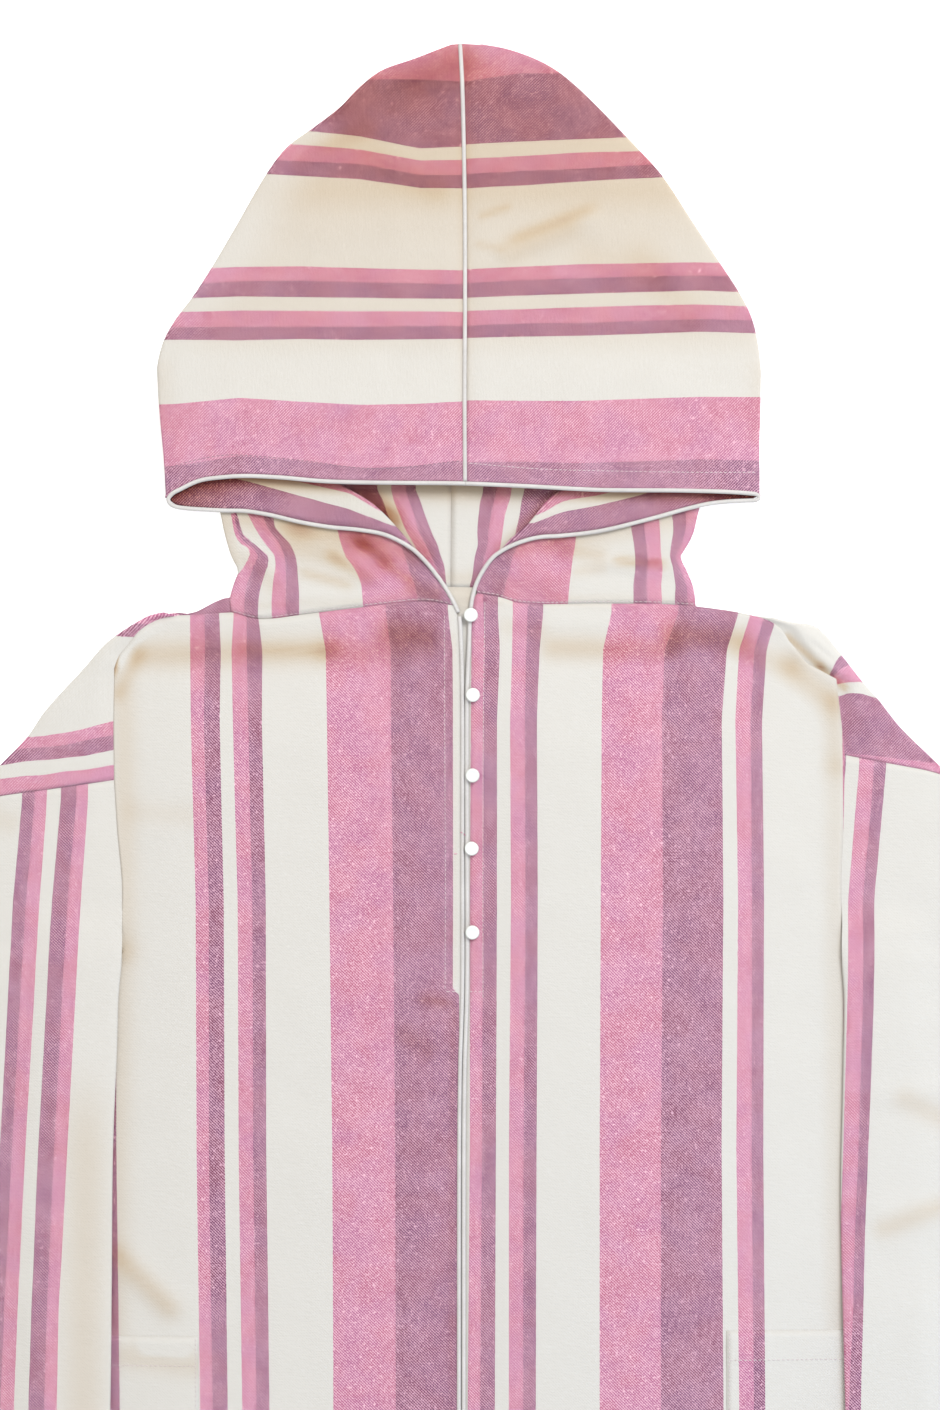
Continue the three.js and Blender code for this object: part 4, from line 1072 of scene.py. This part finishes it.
def hood_half(side):
    """Four nets, from the top round to the back, that weld into one sheet."""
    hand = HAND[side]
    rows = HOOD_SECTIONS[side]
    low = run([row for row in rows if row[1] <= PLEAT_END], FLAP_ROWS)
    high = run([row for row in rows if row[1] >= PLEAT_END], TOP_ROWS)
    roll = run(CHEEK_ROLL[side], FLAP_ROWS)
    fold = run(NECK_FOLD[side], EDGE_ROWS + FLAP_ROWS)

    upper = run(FACE_UPPER[side], UPPER_STEPS)
    upper[0] = (-hand * PIPED_EDGE, upper[0, 1])
    outline = chain(low, high)
    top = layer(beside(run(HOOD_SEAM, len(outline) - 1), hand * PIPED_EDGE), outline, hood_top,
                first=beside(upper, -hand * PIPED_EDGE),
                fold_far=outer_fold(outline, FLAP_ROWS, BETWEEN[2]))

    lower = beside(run(FACE_LOWER[side][::-1], LOWER_STEPS), -hand * PIPED_EDGE)
    roll[0] = lower[0]
    flap = layer(roll, low, lambda x, y: towards_pleat(flap_height(x, y), y), first=lower,
                 fold_near=fold_line(roll, BETWEEN[1]), fold_far=fold_line(low, BETWEEN[2]))

    seam = SEAMS[side]
    first = beside(seam["neck"], -hand * SEAM_GAP / 2)
    first[-1] = fold[0]
    piped = run(NECK_EDGE[side][::-1], EDGE_STEPS)
    piped = beside(piped[piped[:, 1] > first[0, 1] + 2], hand * PIPED_EDGE)
    edge = evenly(np.vstack([first[:1], piped, roll[:1]]), EDGE_ROWS)

    def neck_roll(k):
        return (LEVEL[1], FOLD) if k < EDGE_ROWS else fold_line(roll, BETWEEN[1])(k - EDGE_ROWS)

    neck = layer(chain(edge, roll), fold, lambda x, y: towards_pleat(neck_height(x, y), y), first=first,
                 fold_near=neck_roll, fold_far=fold_line(fold, BETWEEN[0]))

    behind = chain(fold, high)
    start = beside(seam["back_neck"], -hand * SEAM_GAP / 2)
    start[-1] = fold[0]
    back = layer(beside(run(HOOD_BACK_SEAM, len(behind) - 1), hand * SEAM_GAP / 2), behind, level(0),
                 first=start, fold_far=outer_fold(behind, EDGE_ROWS + FLAP_ROWS, BETWEEN[0]))
    return sheet_piece(f"hood_{side}_cloth", [
        (top, f"hood_{side}", top_shade), (flap, f"flap_{side}", flap_shade),
        (neck, f"neck_{side}", painted(NECK_SHADE)), (back, f"hood_back_{side}", painted(INSIDE_SHADE)),
    ], [f"hood_{side}"])


hood = {side: hood_half(side) for side in SIDES}

# %% [markdown]
# ## The fronts and the back
# Each front runs from the piped middle to the side, with the neck seam and the shoulder as its upper
# edge. It lies on the back, with a little air under the middle of each half, so it is lit like a shallow
# cushion. A broad soft trough crosses the chest below the neck seam, where the cloth gives way between
# hood and body.

# %% Fronts and back
ARMHOLE_RIDGE = [
    (-205, -6, -222, -17, 9, 1.2), (-222, -17, -237, -38, 8, 1.3), (-238, -44, -235, -212, 9, 0.8),
    (215, -14, 226, -31, 6, 0.6), (226, -31, 254, -52, 6, 0.6), (256, -56, 256, -212, 9, 0.6),
]
FRONT_FOLDS = [
    (-210, -34, -40, -32, 14, -1.2), (60, -31, 222, -34, 14, -1.3),
    (-190, -11, -40, -13, 8, 0.7), (40, -12, 210, -14, 8, 0.7),
    (-236, -442, -190, -485, -9, 1.4), (-52, -285, -14, -309, -9, -0.6), (-46, -262, -10, -268, -8, 0.6),
    (-200, -120, -120, -150, -22, 0.8), (60, -140, 170, -110, -24, 0.7),
    (-60, -400, -150, -360, -26, 0.8), (70, -420, 190, -380, -28, 0.8),
    (-120, -240, -70, -330, -24, 0.7), (110, -260, 160, -330, -24, -0.5),
    (190, -160, 240, -190, -14, 0.7), (-225, -150, -190, -158, -12, 0.6), (195, -300, 245, -330, -18, 0.6),
    (-150, -800, -90, -1000, -30, 0.8), (120, -760, 170, -980, -30, 0.8), (60, -1050, 80, -1230, -28, 0.7),
]


FRONT_SIDE = 250
NECK_LOFT, CHEST_LOFT = 1.1, 2.4
# Painted shade in the chest trough, under the shoulders and the right roll, beside the sleeves and the
# piping and in the creases. Rows with a minus amount paint the cloth paler: a painted highlight along the
# left shoulder's ridge, and paler coloured stripes over the right half, at the slit's foot and in one
# narrow strip on the left front.
FRONT_SHADE = [
    (-236, -60, -222, -34, 6, 0.5), (-222, -34, -94, -31, 10, 0.7), (-94, -31, -44, -34, 9, 0.45),
    (-54, -20, -24, -25, 9, 0.75), (-150, -30, -90, -31, 5, 0.3), (60, -29, 140, -31, 9, 0.65),
    (142, -20, 188, -24, 10, 1.0), (190, -33, 222, -41, 10, 0.5), (222, -44, 250, -66, 10, 0.6),
    (250, -66, 252, -110, 8, 0.4),
    (-60, -14, -16, -18, -7, 0.35), (20, -14, 60, -18, -7, 0.25),
    (-160, -6, -20, 1, 2.5, 0.2), (20, 3, 150, -2, 2.5, 0.2),
    (-206, -9, -222, -19, 4, -0.6), (-222, -19, -235, -38, 4, -0.6),
    (-50, -287, -18, -308, -7, 0.4), (-34, -267, -8, -272, -4, 0.6), (-248, -430, -190, -489, -7.5, 0.65),
    (-226, -140, -188, -143, 8, 0.2), (172, -45, 172, -620, 55, -0.25),
    (-8, -270, -8, -1290, 2.5, 0.3), (-8, -20, -6, -255, 2, 0.15), (6, -20, 6, -255, 2, 0.15),
    (252, -110, 252, -540, 9, 0.25), (-232, -60, -231, -236, 9, 0.4), (-234, -236, -240, -540, 10, 0.4),
    (-237, -34, -238.4, -45, 2.4, 1.6), (3, -267, 12, -267, 4, -0.8), (-52, -50, -50, -260, 4, -0.2),
]
# Painted shade on the back where it shows inside the neck's V.
BACK_SHADE = [(-12, 8, 12, 8, 14, 0.4)]


def front_height(x, y):
    """A shallow cushion of air with its folds, and the ridge where the sleeve is sewn on."""
    away = np.abs(x)
    inwards = FRONT_SIDE - away
    full = NECK_LOFT * ease(-5, -45, y) * ease(0, 60, inwards) * ease(2, 40, away)
    loft = CHEST_LOFT * ease(-40, -105, y) * ease(0, 80, inwards) * ease(2, 55, away)
    soft = folds(FRONT_FOLDS, x, y) * ease(2, 30, away) * ease(0, 25, inwards)
    return LEVEL[1] + np.maximum(0, full + loft + soft) + folds(ARMHOLE_RIDGE, x, y)


def front_half(side):
    hand = HAND[side]
    seam = SEAMS[side]
    net = layer(beside(seam["middle"], -hand * PIPED_EDGE), beside(seam["body_side"], hand * SEAM_GAP / 2),
                front_height, first=beside(chain(seam["neck"], seam["shoulder"]), hand * SEAM_GAP / 2))
    nets = [(net, f"front_{side}", painted(FRONT_SHADE))]
    return sheet_piece(f"front_{side}_cloth", nets, [f"front_{side}"])


def back_panel():
    """The back, eased up a little past the left front so that it shows along the shoulder."""
    left, right = SEAMS["left"], SEAMS["right"]
    across = chain(left["shoulder"][::-2], left["back_neck"][::-2], right["back_neck"][::2],
                   right["shoulder"][::2])
    x = across[:, 0]
    by_neck = 10.5 * ease(-192, -160, x) * ease(-140, -156, x)
    by_sleeve = 1.9 * ease(-207, -200, x) * ease(-186, -192, x)
    across[:, 1] += by_neck + by_sleeve
    near = beside(left["body_side"][::2], SEAM_GAP / 2)
    far = beside(right["body_side"][::2], -SEAM_GAP / 2)
    net = layer(near, far, level(0), first=beside(across, -SEAM_GAP / 2))
    return sheet_piece("back_cloth", [(net, "back", painted(BACK_SHADE))], ["back"])


fronts = {side: front_half(side) for side in SIDES}
back = back_panel()

# %% [markdown]
# ## The sleeves
# A sleeve is a tube pressed flat. Its under layer runs from the body out to the fold and its upper layer
# runs back in. Below the underarm the inner edge is a fold too, and there the sleeve lies on the side of
# the body.

# %% Sleeves
UPPER_SLEEVE_FOLD = {
    "left": [(-205, -5.5), (-214, -7.4), (-222, -11.5), (-236, -20.4), (-244.8, -27.2), (-258.4, -42.8),
             (-285.6, -72.8), (-297.2, -89.8), (-316.2, -109.5), (-342, -135)],
    "right": [(209, -9), (218, -11.4), (227.8, -12.9), (237, -14.2), (244.8, -20.4), (253, -30.6),
              (270, -52.4), (280.2, -63.9), (295.8, -83.6), (319.6, -106.8), (332, -119)],
}
LOWER_SLEEVE_FOLD = {
    "left": [(-342, -135), (-358, -152), (-371, -176), (-377, -215), (-383, -330), (-395, CUFF)],
    "right": [(332, -119), (354, -143), (371, -172), (379, -215), (385, -330), (395, CUFF)],
}
UNDERARM_FOLD = {
    "left": [(-236.2, UNDERARM), (-237, -296), (-239.9, -371), (-241, -511), (-243, CUFF)],
    "right": [(259, UNDERARM), (257.4, -330), (256, -405), (258.9, -547), (261, CUFF)],
}
SLEEVE_FOLDS = [
    (276, -332, 322, -330, 9, 0.9), (276, -344, 322, -346, 7, -0.5), (276, -412, 330, -414, 10, 0.9),
    (-330, -250, -270, -262, -18, 0.7), (-330, -400, -266, -420, -20, 0.8),
    (-350, -520, -280, -540, -20, 0.7),
    (267, -62, 274, -78, 6, 0.9), (274, -78, 287, -103, 6, 0.9), (228, -19, 262, -46, 7, 1.7),
    (236, -26, 250, -37, 2, -1.0), (262, -38, 258, -52, 3, -0.8),
    (-300, -80, -262, -60, -10, 0.5), (-290, -112, -250, -104, -10, 0.5),
    (300, -180, 350, -210, -18, 0.7), (290, -500, 350, -520, -20, 0.7),
]
# Painted shade under the right shoulder's roll, in the creases of the sleeves and down the left sleeve; the
# row with a minus amount paints a pale streak along a fold of the right sleeve, a painted highlight.
SLEEVE_SHADE = [
    (220, -22, 242, -42, 3.0, 0.9), (242, -42, 258, -56, 3.0, 1.0), (288, -330, 334, -354, -8, 0.35),
    (272, -428, 334, -404, -7, 0.45), (-336, -138, -300, -152, -8, 0.25), (266, -62, 285, -103, -2.2, -1.0),
    (-257, -300, -259, -640, -14, 0.4),
]
SLEEVE_LOFT = 2.6
SLEEVE_STEPS = 84
CAP_START = 12
UNDERARM_LAP = (2.4, -238, 20)
BELOW_UNDERARM = -268


def over_body(side, x, y):
    """How far a sleeve is lifted where it lies over the side of the body, and over the pocket there."""
    edge = across_at(SEAMS[side]["side"], np.minimum(y, BELOW_UNDERARM))
    layers = 2 + ease(-440, -485, y)
    return layers * LAYER * ease(46, 16, (edge - x) * HAND[side]) * ease(-200, -236, y)


def unlifted(x, y):
    """The lift of a piece that lies on the table itself."""
    return 0 * x


def sleeve(name, near, far, sewn, lift, first, last=None):
    """Two layers that share the outer fold, and the inner one too where they aren't sewn to the body."""
    def fold(points):
        return lambda k: (BETWEEN[0] + float(lift(*points[k])), FOLD)

    nets = []
    for k in (0, 1):
        def height(x, y, k=k):
            a = across_at(near, y)
            b = across_at(far, y)
            inside = np.clip(4 * (x - a) * (b - x) / np.maximum((b - a) ** 2, 1), 0, 1)
            full = SLEEVE_LOFT * np.sqrt(inside) + folds(SLEEVE_FOLDS, x, y) * inside
            by_seam = ease(-3, 12, np.abs(x - a)) * ease(UNDERARM, UNDERARM + 20, y)
            full = full * mix(by_seam, 1, ease(UNDERARM + 20, UNDERARM, y)) + folds(ARMHOLE_RIDGE, x, y)
            return LEVEL[k] + lift(x, y) + k * full

        def inner(row, height=height):
            if row <= sewn:
                return float(height(near[row, :1], near[row, 1:])[0]), FOLD
            return fold(near)(row)

        grid = layer(near, far, height, first=first, last=last, fold_near=inner, fold_far=fold(far))
        nets.append((grid, name, painted(SLEEVE_SHADE)))
    return sheet_piece(f"{name}_cloth", nets, [name])


def upper_sleeve(side):
    """The cap at the shoulder, sewn to the body all the way down its inner edge."""
    hand = HAND[side]
    seam = SEAMS[side]
    inner = beside(chain(seam["shoulder"][CAP_START:], seam["upper"]), -hand * SEAM_GAP / 2)
    last = beside(seam["sleeve"], -hand * SEAM_GAP)
    outer = run(UPPER_SLEEVE_FOLD[side], len(inner) - 1)
    outer[-1] = last[-1]
    inner[-1] = last[0]
    first = run([inner[0], UPPER_SLEEVE_FOLD[side][0]], len(last) - 1)
    return sleeve(f"upper_sleeve_{side}", inner, outer, len(inner), unlifted, first, last)


def lower_sleeve(side):
    """The tube below the cap. At the underarm its inner edge laps a little over the body's."""
    hand = HAND[side]
    seam = SEAMS[side]
    sewn = len(seam["lower"]) - 1
    inner = beside(chain(seam["lower"], run(UNDERARM_FOLD[side], SLEEVE_STEPS)), -hand * SEAM_GAP / 2)
    lap, lap_at, reach = UNDERARM_LAP
    inner[:, 0] += hand * lap * np.exp(-(((inner[:, 1] - lap_at) / reach) ** 2))
    rows = LOWER_SLEEVE_FOLD[side]
    outer = chain(run(rows[:4], sewn), run(rows[3:], SLEEVE_STEPS))
    first = beside(seam["sleeve"], hand * SEAM_GAP / 2)
    outer[0] = first[-1]
    inner[0] = first[0]
    return sleeve(f"lower_sleeve_{side}", inner, outer, sewn, lambda x, y: over_body(side, x, y), first)


upper_sleeves = {side: upper_sleeve(side) for side in SIDES}
lower_sleeves = {side: lower_sleeve(side) for side in SIDES}

# %% [markdown]
# ## The pockets
# A patch pocket is a flat piece laid on the front, cut so that its stripes carry on those of the front.
# Its cloth is pressed thinner and sinks a little into the front's nap.

# %% Pockets
POCKETS = {"left": (-181, -497), "right": (177.5, -493)}
POCKET_CLOTH = 0.6
POCKET_SINK = 0.3
POCKET_ROWS, POCKET_COLUMNS = 34, 24
# Painted shade below the pocket's mouth, and a painted highlight, a minus amount, just under its top edge.
POCKET_SHADE = [(-250, -508, -160, -520, -9, 0.4), (-224, -503, -184, -505, -5, -0.8)]


def pocket_height(x, y):
    """Sewn down flat at its sides and foot, and a little slack at its mouth."""
    slack = 0.3 * np.exp(-(((y + 506) / 8) ** 2))
    rise = (CLOTH + POCKET_CLOTH) / 2 - POCKET_SINK
    return front_height(x, y) + rise + slack * ease(0, 20, 262 - np.abs(x))


def pocket(side):
    x, top = POCKETS[side]
    y = np.linspace(top, top - POCKET_DEPTH, POCKET_ROWS)
    near = np.column_stack([np.full(len(y), x), y])
    far = np.column_stack([across_at(SEAMS[side]["side"], y) + 2 * HAND[side], y])
    net = layer(near, far, pocket_height, columns=POCKET_COLUMNS)
    nets = [(net, f"front_{side}", painted(POCKET_SHADE))]
    return sheet_piece(f"pocket_{side}_cloth", nets, [f"pocket_{side}"], thickness=POCKET_CLOTH)


pockets = {side: pocket(side) for side in SIDES}

# %% [markdown]
# ## The piping
# A cord runs over the hood from front to back, one round each side of the face opening, and one down each
# side of the slit and on down the front. Each is a round tube laid on the cloth beside it.

# %% Piping
FRONT_CORD_Z = LEVEL[1] + 0.5
CORD_RIDE = 0.75
SEAM_CORD_RIDE = 0.5
FACE_STEPS, SEAM_CORD_STEPS = 260, 150
TIPS = {
    "left": [(-198.6, 75.6), (-201.6, 71.6), (-199.6, 68.2)],
    "right": [(198, 75), (200, 73), (198, 71.2)],
}


def tube(name, points, nodes, sides=16):
    """A round cord through points, closed at both ends."""
    way = np.gradient(points, axis=0)
    way /= np.linalg.norm(way, axis=1)[:, None]
    across = np.column_stack([-way[:, 1], way[:, 0], np.zeros(len(way))])
    across /= np.linalg.norm(across, axis=1)[:, None]
    up = np.cross(way, across)
    angles = 2 * np.pi * np.arange(sides) / sides
    rings = [points + CORD_RADIUS * (across * math.cos(a) + up * math.sin(a)) for a in angles]
    vertices = np.stack(rings, axis=1).reshape(-1, 3)
    faces = []
    for k in range(len(points) - 1):
        for i in range(sides):
            a, b = k * sides + i, k * sides + (i + 1) % sides
            faces.append((a, b, b + sides, a + sides))
    last = (len(points) - 1) * sides
    faces += [tuple(range(sides))[::-1], tuple(last + i for i in range(sides))]
    mesh = bpy.data.meshes.new(name)
    mesh.from_pydata(metres(vertices).tolist(), [], faces)
    return finished(name, mesh, nodes, PIPING)


def at_height(points, height):
    """The same points, each at the height there."""
    return np.column_stack([points, height(points[:, 0], points[:, 1])])


def face_piping(side):
    """Out over the top's edge to the tip, and back in under it to the slit."""
    hand = HAND[side]
    line = [(-hand * 0.02, FACE_UPPER[side][0][1]), *FACE_UPPER[side][1:-1], *TIPS[side],
            *FACE_LOWER[side][1:], *NECK_EDGE[side][1:-1], FRONT_CORDS[side][0]]
    points = run(line, FACE_STEPS)
    x, y = points.T
    tip = int(np.argmax(np.abs(x)))
    above = hood_top(x, y) + CORD_RIDE
    under = mix(LEVEL[2] + CORD_RIDE, above[tip], ease(165, 198, np.abs(x)))
    under = mix(FRONT_CORD_Z, under, ease(10, 38, y))
    z = np.where(np.arange(len(x)) < tip, above, under)
    return tube(f"face_piping_{side}_cord", np.column_stack([points, z]), [f"face_piping_{side}"])


def front_piping(side):
    cords = SEAMS[side]["cords"]
    cords = cords[cords[:, 1] < FRONT_CORDS[side][0][1] + 0.1]
    return tube(f"front_piping_{side}_cord", at_height(cords, lambda x, y: FRONT_CORD_Z + 0 * x),
                [f"front_piping_{side}"])


seam_cord = run(HOOD_SEAM, SEAM_CORD_STEPS)
seam_cord = seam_cord[seam_cord[:, 1] >= seam_cord[0, 1] + CORD_RADIUS / 2]
seam_cord = at_height(seam_cord, lambda x, y: hood_top(x, y) + SEAM_CORD_RIDE)
tube("hood_seam_cord", seam_cord, ["hood_seam_piping"])
for side in SIDES:
    face_piping(side)
    front_piping(side)

# %% [markdown]
# ## The buttons
# Five small shank buttons. Each is turned from one profile, a rim with a shallow hollow inside it and a
# low dome in the middle.

# %% Buttons
BUTTONS = [(3.9, -6.8), (5.3, -61.2), (5.1, -115.9), (4.5, -165.6), (5, -222.6)]
SHANK, SHANK_ASIDE, SHANK_RADIUS, SHANK_IN = 1.3, 2.9, 1.1, 0.5
BUTTON_PROFILE = [(0, 0), (3.6, 0), (4.3, 0.15), (4.7, 0.5), (4.8, 1.0), (4.75, 1.5), (4.5, 2.0),
                  (4.1, 2.3), (3.7, 2.35), (3.3, 2.2), (2.6, 2.0), (1.4, 1.95), (0, 1.98)]


def lathe(profile, place, sides=48):
    """Points and faces of a turned shape."""
    angles = 2 * np.pi * np.arange(sides) / sides
    ring = profile[1:-1]
    points = [place + [0, 0, profile[0][1]], place + [0, 0, profile[-1][1]]]
    for radius, z in ring:
        points += [place + [radius * math.cos(a), radius * math.sin(a), z] for a in angles]
    faces = []
    for i in range(sides):
        j = (i + 1) % sides
        faces.append((0, 2 + j, 2 + i))
        faces.append((1, 2 + (len(ring) - 1) * sides + i, 2 + (len(ring) - 1) * sides + j))
        for k in range(len(ring) - 1):
            a, b = 2 + k * sides + i, 2 + k * sides + j
            faces.append((a, b, b + sides, a + sides))
    return points, faces


def button(k, x, y):
    """A button on its short post."""
    place = np.array([x, y, LEVEL[1] + CLOTH / 2 + SEAM_GAP])
    points, faces = lathe(BUTTON_PROFILE, place + [0, 0, SHANK])
    tall = SHANK + SHANK_IN
    profile = [(0, 0), (SHANK_RADIUS, 0), (SHANK_RADIUS, tall), (0, tall)]
    post, sides = lathe(profile, place + [SHANK_ASIDE, 0, 0], 12)
    faces += [tuple(len(points) + v for v in face) for face in sides]
    mesh = bpy.data.meshes.new(f"button_{k}_white")
    mesh.from_pydata(metres(points + post).tolist(), [], faces)
    return finished(f"button_{k}_white", mesh, [f"button_{k}"], BUTTON)


for k, (x, y) in enumerate(BUTTONS):
    button(k + 1, x, y)

# %% [markdown]
# ## Stitches
# A stitch is a short length of thread that dips into the cloth at both ends. One dash is drafted as four
# small rings, and a loop sets it down again and again along each line, all in one mesh for each colour of
# thread.

# %% Stitches
STITCH, STITCH_GAP, THREAD_RADIUS = 2.3, 0.9, 0.34
ROUND = 5
DASH = [(0.0, 0.08, -0.12), (0.22, 0.9, 0.06), (0.78, 0.9, 0.06), (1.0, 0.08, -0.12)]


def dash(start, end):
    """Rings of one stitch, thin and low at its ends."""
    way = end - start
    aside = np.array([-way[1], way[0], 0]) / np.linalg.norm(way[:2])
    rings = []
    for share, thick, rise in DASH:
        middle = start + way * share + [0, 0, rise]
        for a in 2 * np.pi * np.arange(ROUND) / ROUND:
            out = aside * math.cos(a) + np.array([0, 0, math.sin(a)])
            rings.append(middle + THREAD_RADIUS * thick * out)
    return rings


def stitched(name, lines, material):
    """Rows of stitches: each line is its points and the height of the cloth's face there."""
    points, faces = [], []
    for rows, face in lines:
        length = np.linalg.norm(np.diff(run(rows, 60), axis=0), axis=1).sum()
        count = max(1, round(length / (STITCH + STITCH_GAP)))
        places = run(rows, count)
        for a, b in zip(places, places[1:]):
            ends = [np.array([*a, 0.0]), np.array([*mix(a, b, STITCH / (STITCH + STITCH_GAP)), 0.0])]
            for end in ends:
                end[2] = float(face(end[:1], end[1:2])[0])
            first = len(points)
            points += dash(*ends)
            last = first + (len(DASH) - 1) * ROUND
            faces.append(tuple(first + i for i in range(ROUND))[::-1])
            faces.append(tuple(last + i for i in range(ROUND)))
            for ring in range(first, last, ROUND):
                for i in range(ROUND):
                    j = (i + 1) % ROUND
                    faces.append(tuple(ring + v for v in (i, j, j + ROUND, i + ROUND)))
    mesh = bpy.data.meshes.new(name)
    mesh.from_pydata(metres(points).tolist(), [], faces)
    return finished(name, mesh, [], material)


def on(height, thickness=CLOTH):
    """The upper face of a layer."""
    return lambda x, y: height(x, y) + thickness / 2


HOOD_HEM = {
    "left": [(-200, 93.5), (-180, 99), (-162, 101.6), (-144, 101), (-122, 99), (-98.6, 96.3), (-83, 94),
             (-60, 92.2), (-37, 93.6), (-15, 96.3), (-3, 97.6)],
    "right": [(3, 96), (30.6, 93.5), (55.8, 91.8), (98.6, 90.7), (132.6, 90.1), (166.6, 89.8), (198, 90)],
}
PLACKET = {"left": [(-14, -7), (-13.8, -100), (-13.4, -180), (-13.6, -262)],
           "right": [(13.5, 2), (12.6, -60), (12.2, -160), (12.2, -268)]}
SLIT_BAR = {"left": [(-13, -263), (-5, -263)], "right": [(3, -263), (12, -263)]}


def along_neck(side):
    """One row just above the neck seam."""
    rows = [(x, y + 1.3) for x, y in NECK_SEAM[side]]
    return [(rows, on(neck_height))]


def round_pocket(side):
    """Down the pocket's inner side, along its foot, and across under its mouth."""
    x, top = POCKETS[side]
    hand = HAND[side]
    inner, foot = x - 2 * hand, top - POCKET_DEPTH + 2
    outer = across_at(SEAMS[side]["side"], np.array([top - 20]))[0] + 5 * hand
    face = on(pocket_height, POCKET_CLOTH)
    return [([(inner, top - 1), (inner, foot)], face), ([(inner, top - 20), (outer, top - 20)], face),
            ([(inner, foot), (outer, foot)], face)]


pale_lines = [(HOOD_HEM["right"], on(hood_top))]
for side in SIDES:
    pale_lines += along_neck(side) + round_pocket(side)
    pale_lines += [(PLACKET[side], on(front_height)), (SLIT_BAR[side], on(front_height))]
    hem = [(-HAND[side] * 6, HEM + 20), (SIDE_SEAM[side][-1][0] + HAND[side] * 4, HEM + 20)]
    pale_lines.append((hem, on(front_height)))
stitched("pale_stitches", pale_lines, THREAD)
stitched("grey_stitches", [(HOOD_HEM["left"], on(hood_top))], GREY_THREAD)
stray = [(-3.2, -154.4), (-1.5, -154.8), (0.7, -157.4)]
stitched("pink_stitches", [(stray, lambda x, y: FRONT_CORD_Z + CORD_RADIUS + 0 * x),
                           ([(-8, -169.3), (-4, -169.3)], on(front_height))], PINK_THREAD)

# %% [markdown]
# ## Sizes of the cloth pieces
# Each sheet's flat size is a rectangle it could be cut from, and its area is the cloth in it, all round a
# sleeve's tube and over every fold of the hood.

# %% Sheets
SHEETS = [
    (back, (0.615, 1.312), 0.731, []),
    (fronts["left"], (0.296, 1.300), 0.345, ["back_cloth"]),
    (fronts["right"], (0.314, 1.308), 0.374, ["back_cloth"]),
    (lower_sleeves["left"], (0.300, 0.500), 0.143, ["back_cloth"]),
    (lower_sleeves["right"], (0.280, 0.518), 0.128, ["back_cloth"]),
    (upper_sleeves["left"], (0.148, 0.130), 0.0104, []),
    (upper_sleeves["right"], (0.134, 0.112), 0.0064, []),
    (hood["left"], (0.300, 0.550), 0.119, []),
    (hood["right"], (0.300, 0.550), 0.124, []),
    (pockets["left"], (0.094, 0.165), 0.0155, ["front_left_cloth"]),
    (pockets["right"], (0.116, 0.165), 0.0191, ["front_right_cloth"]),
]
for piece, flat, area, under in SHEETS:
    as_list(under)
    print(piece.name, "is cut from", flat[0], "by", flat[1], "m")
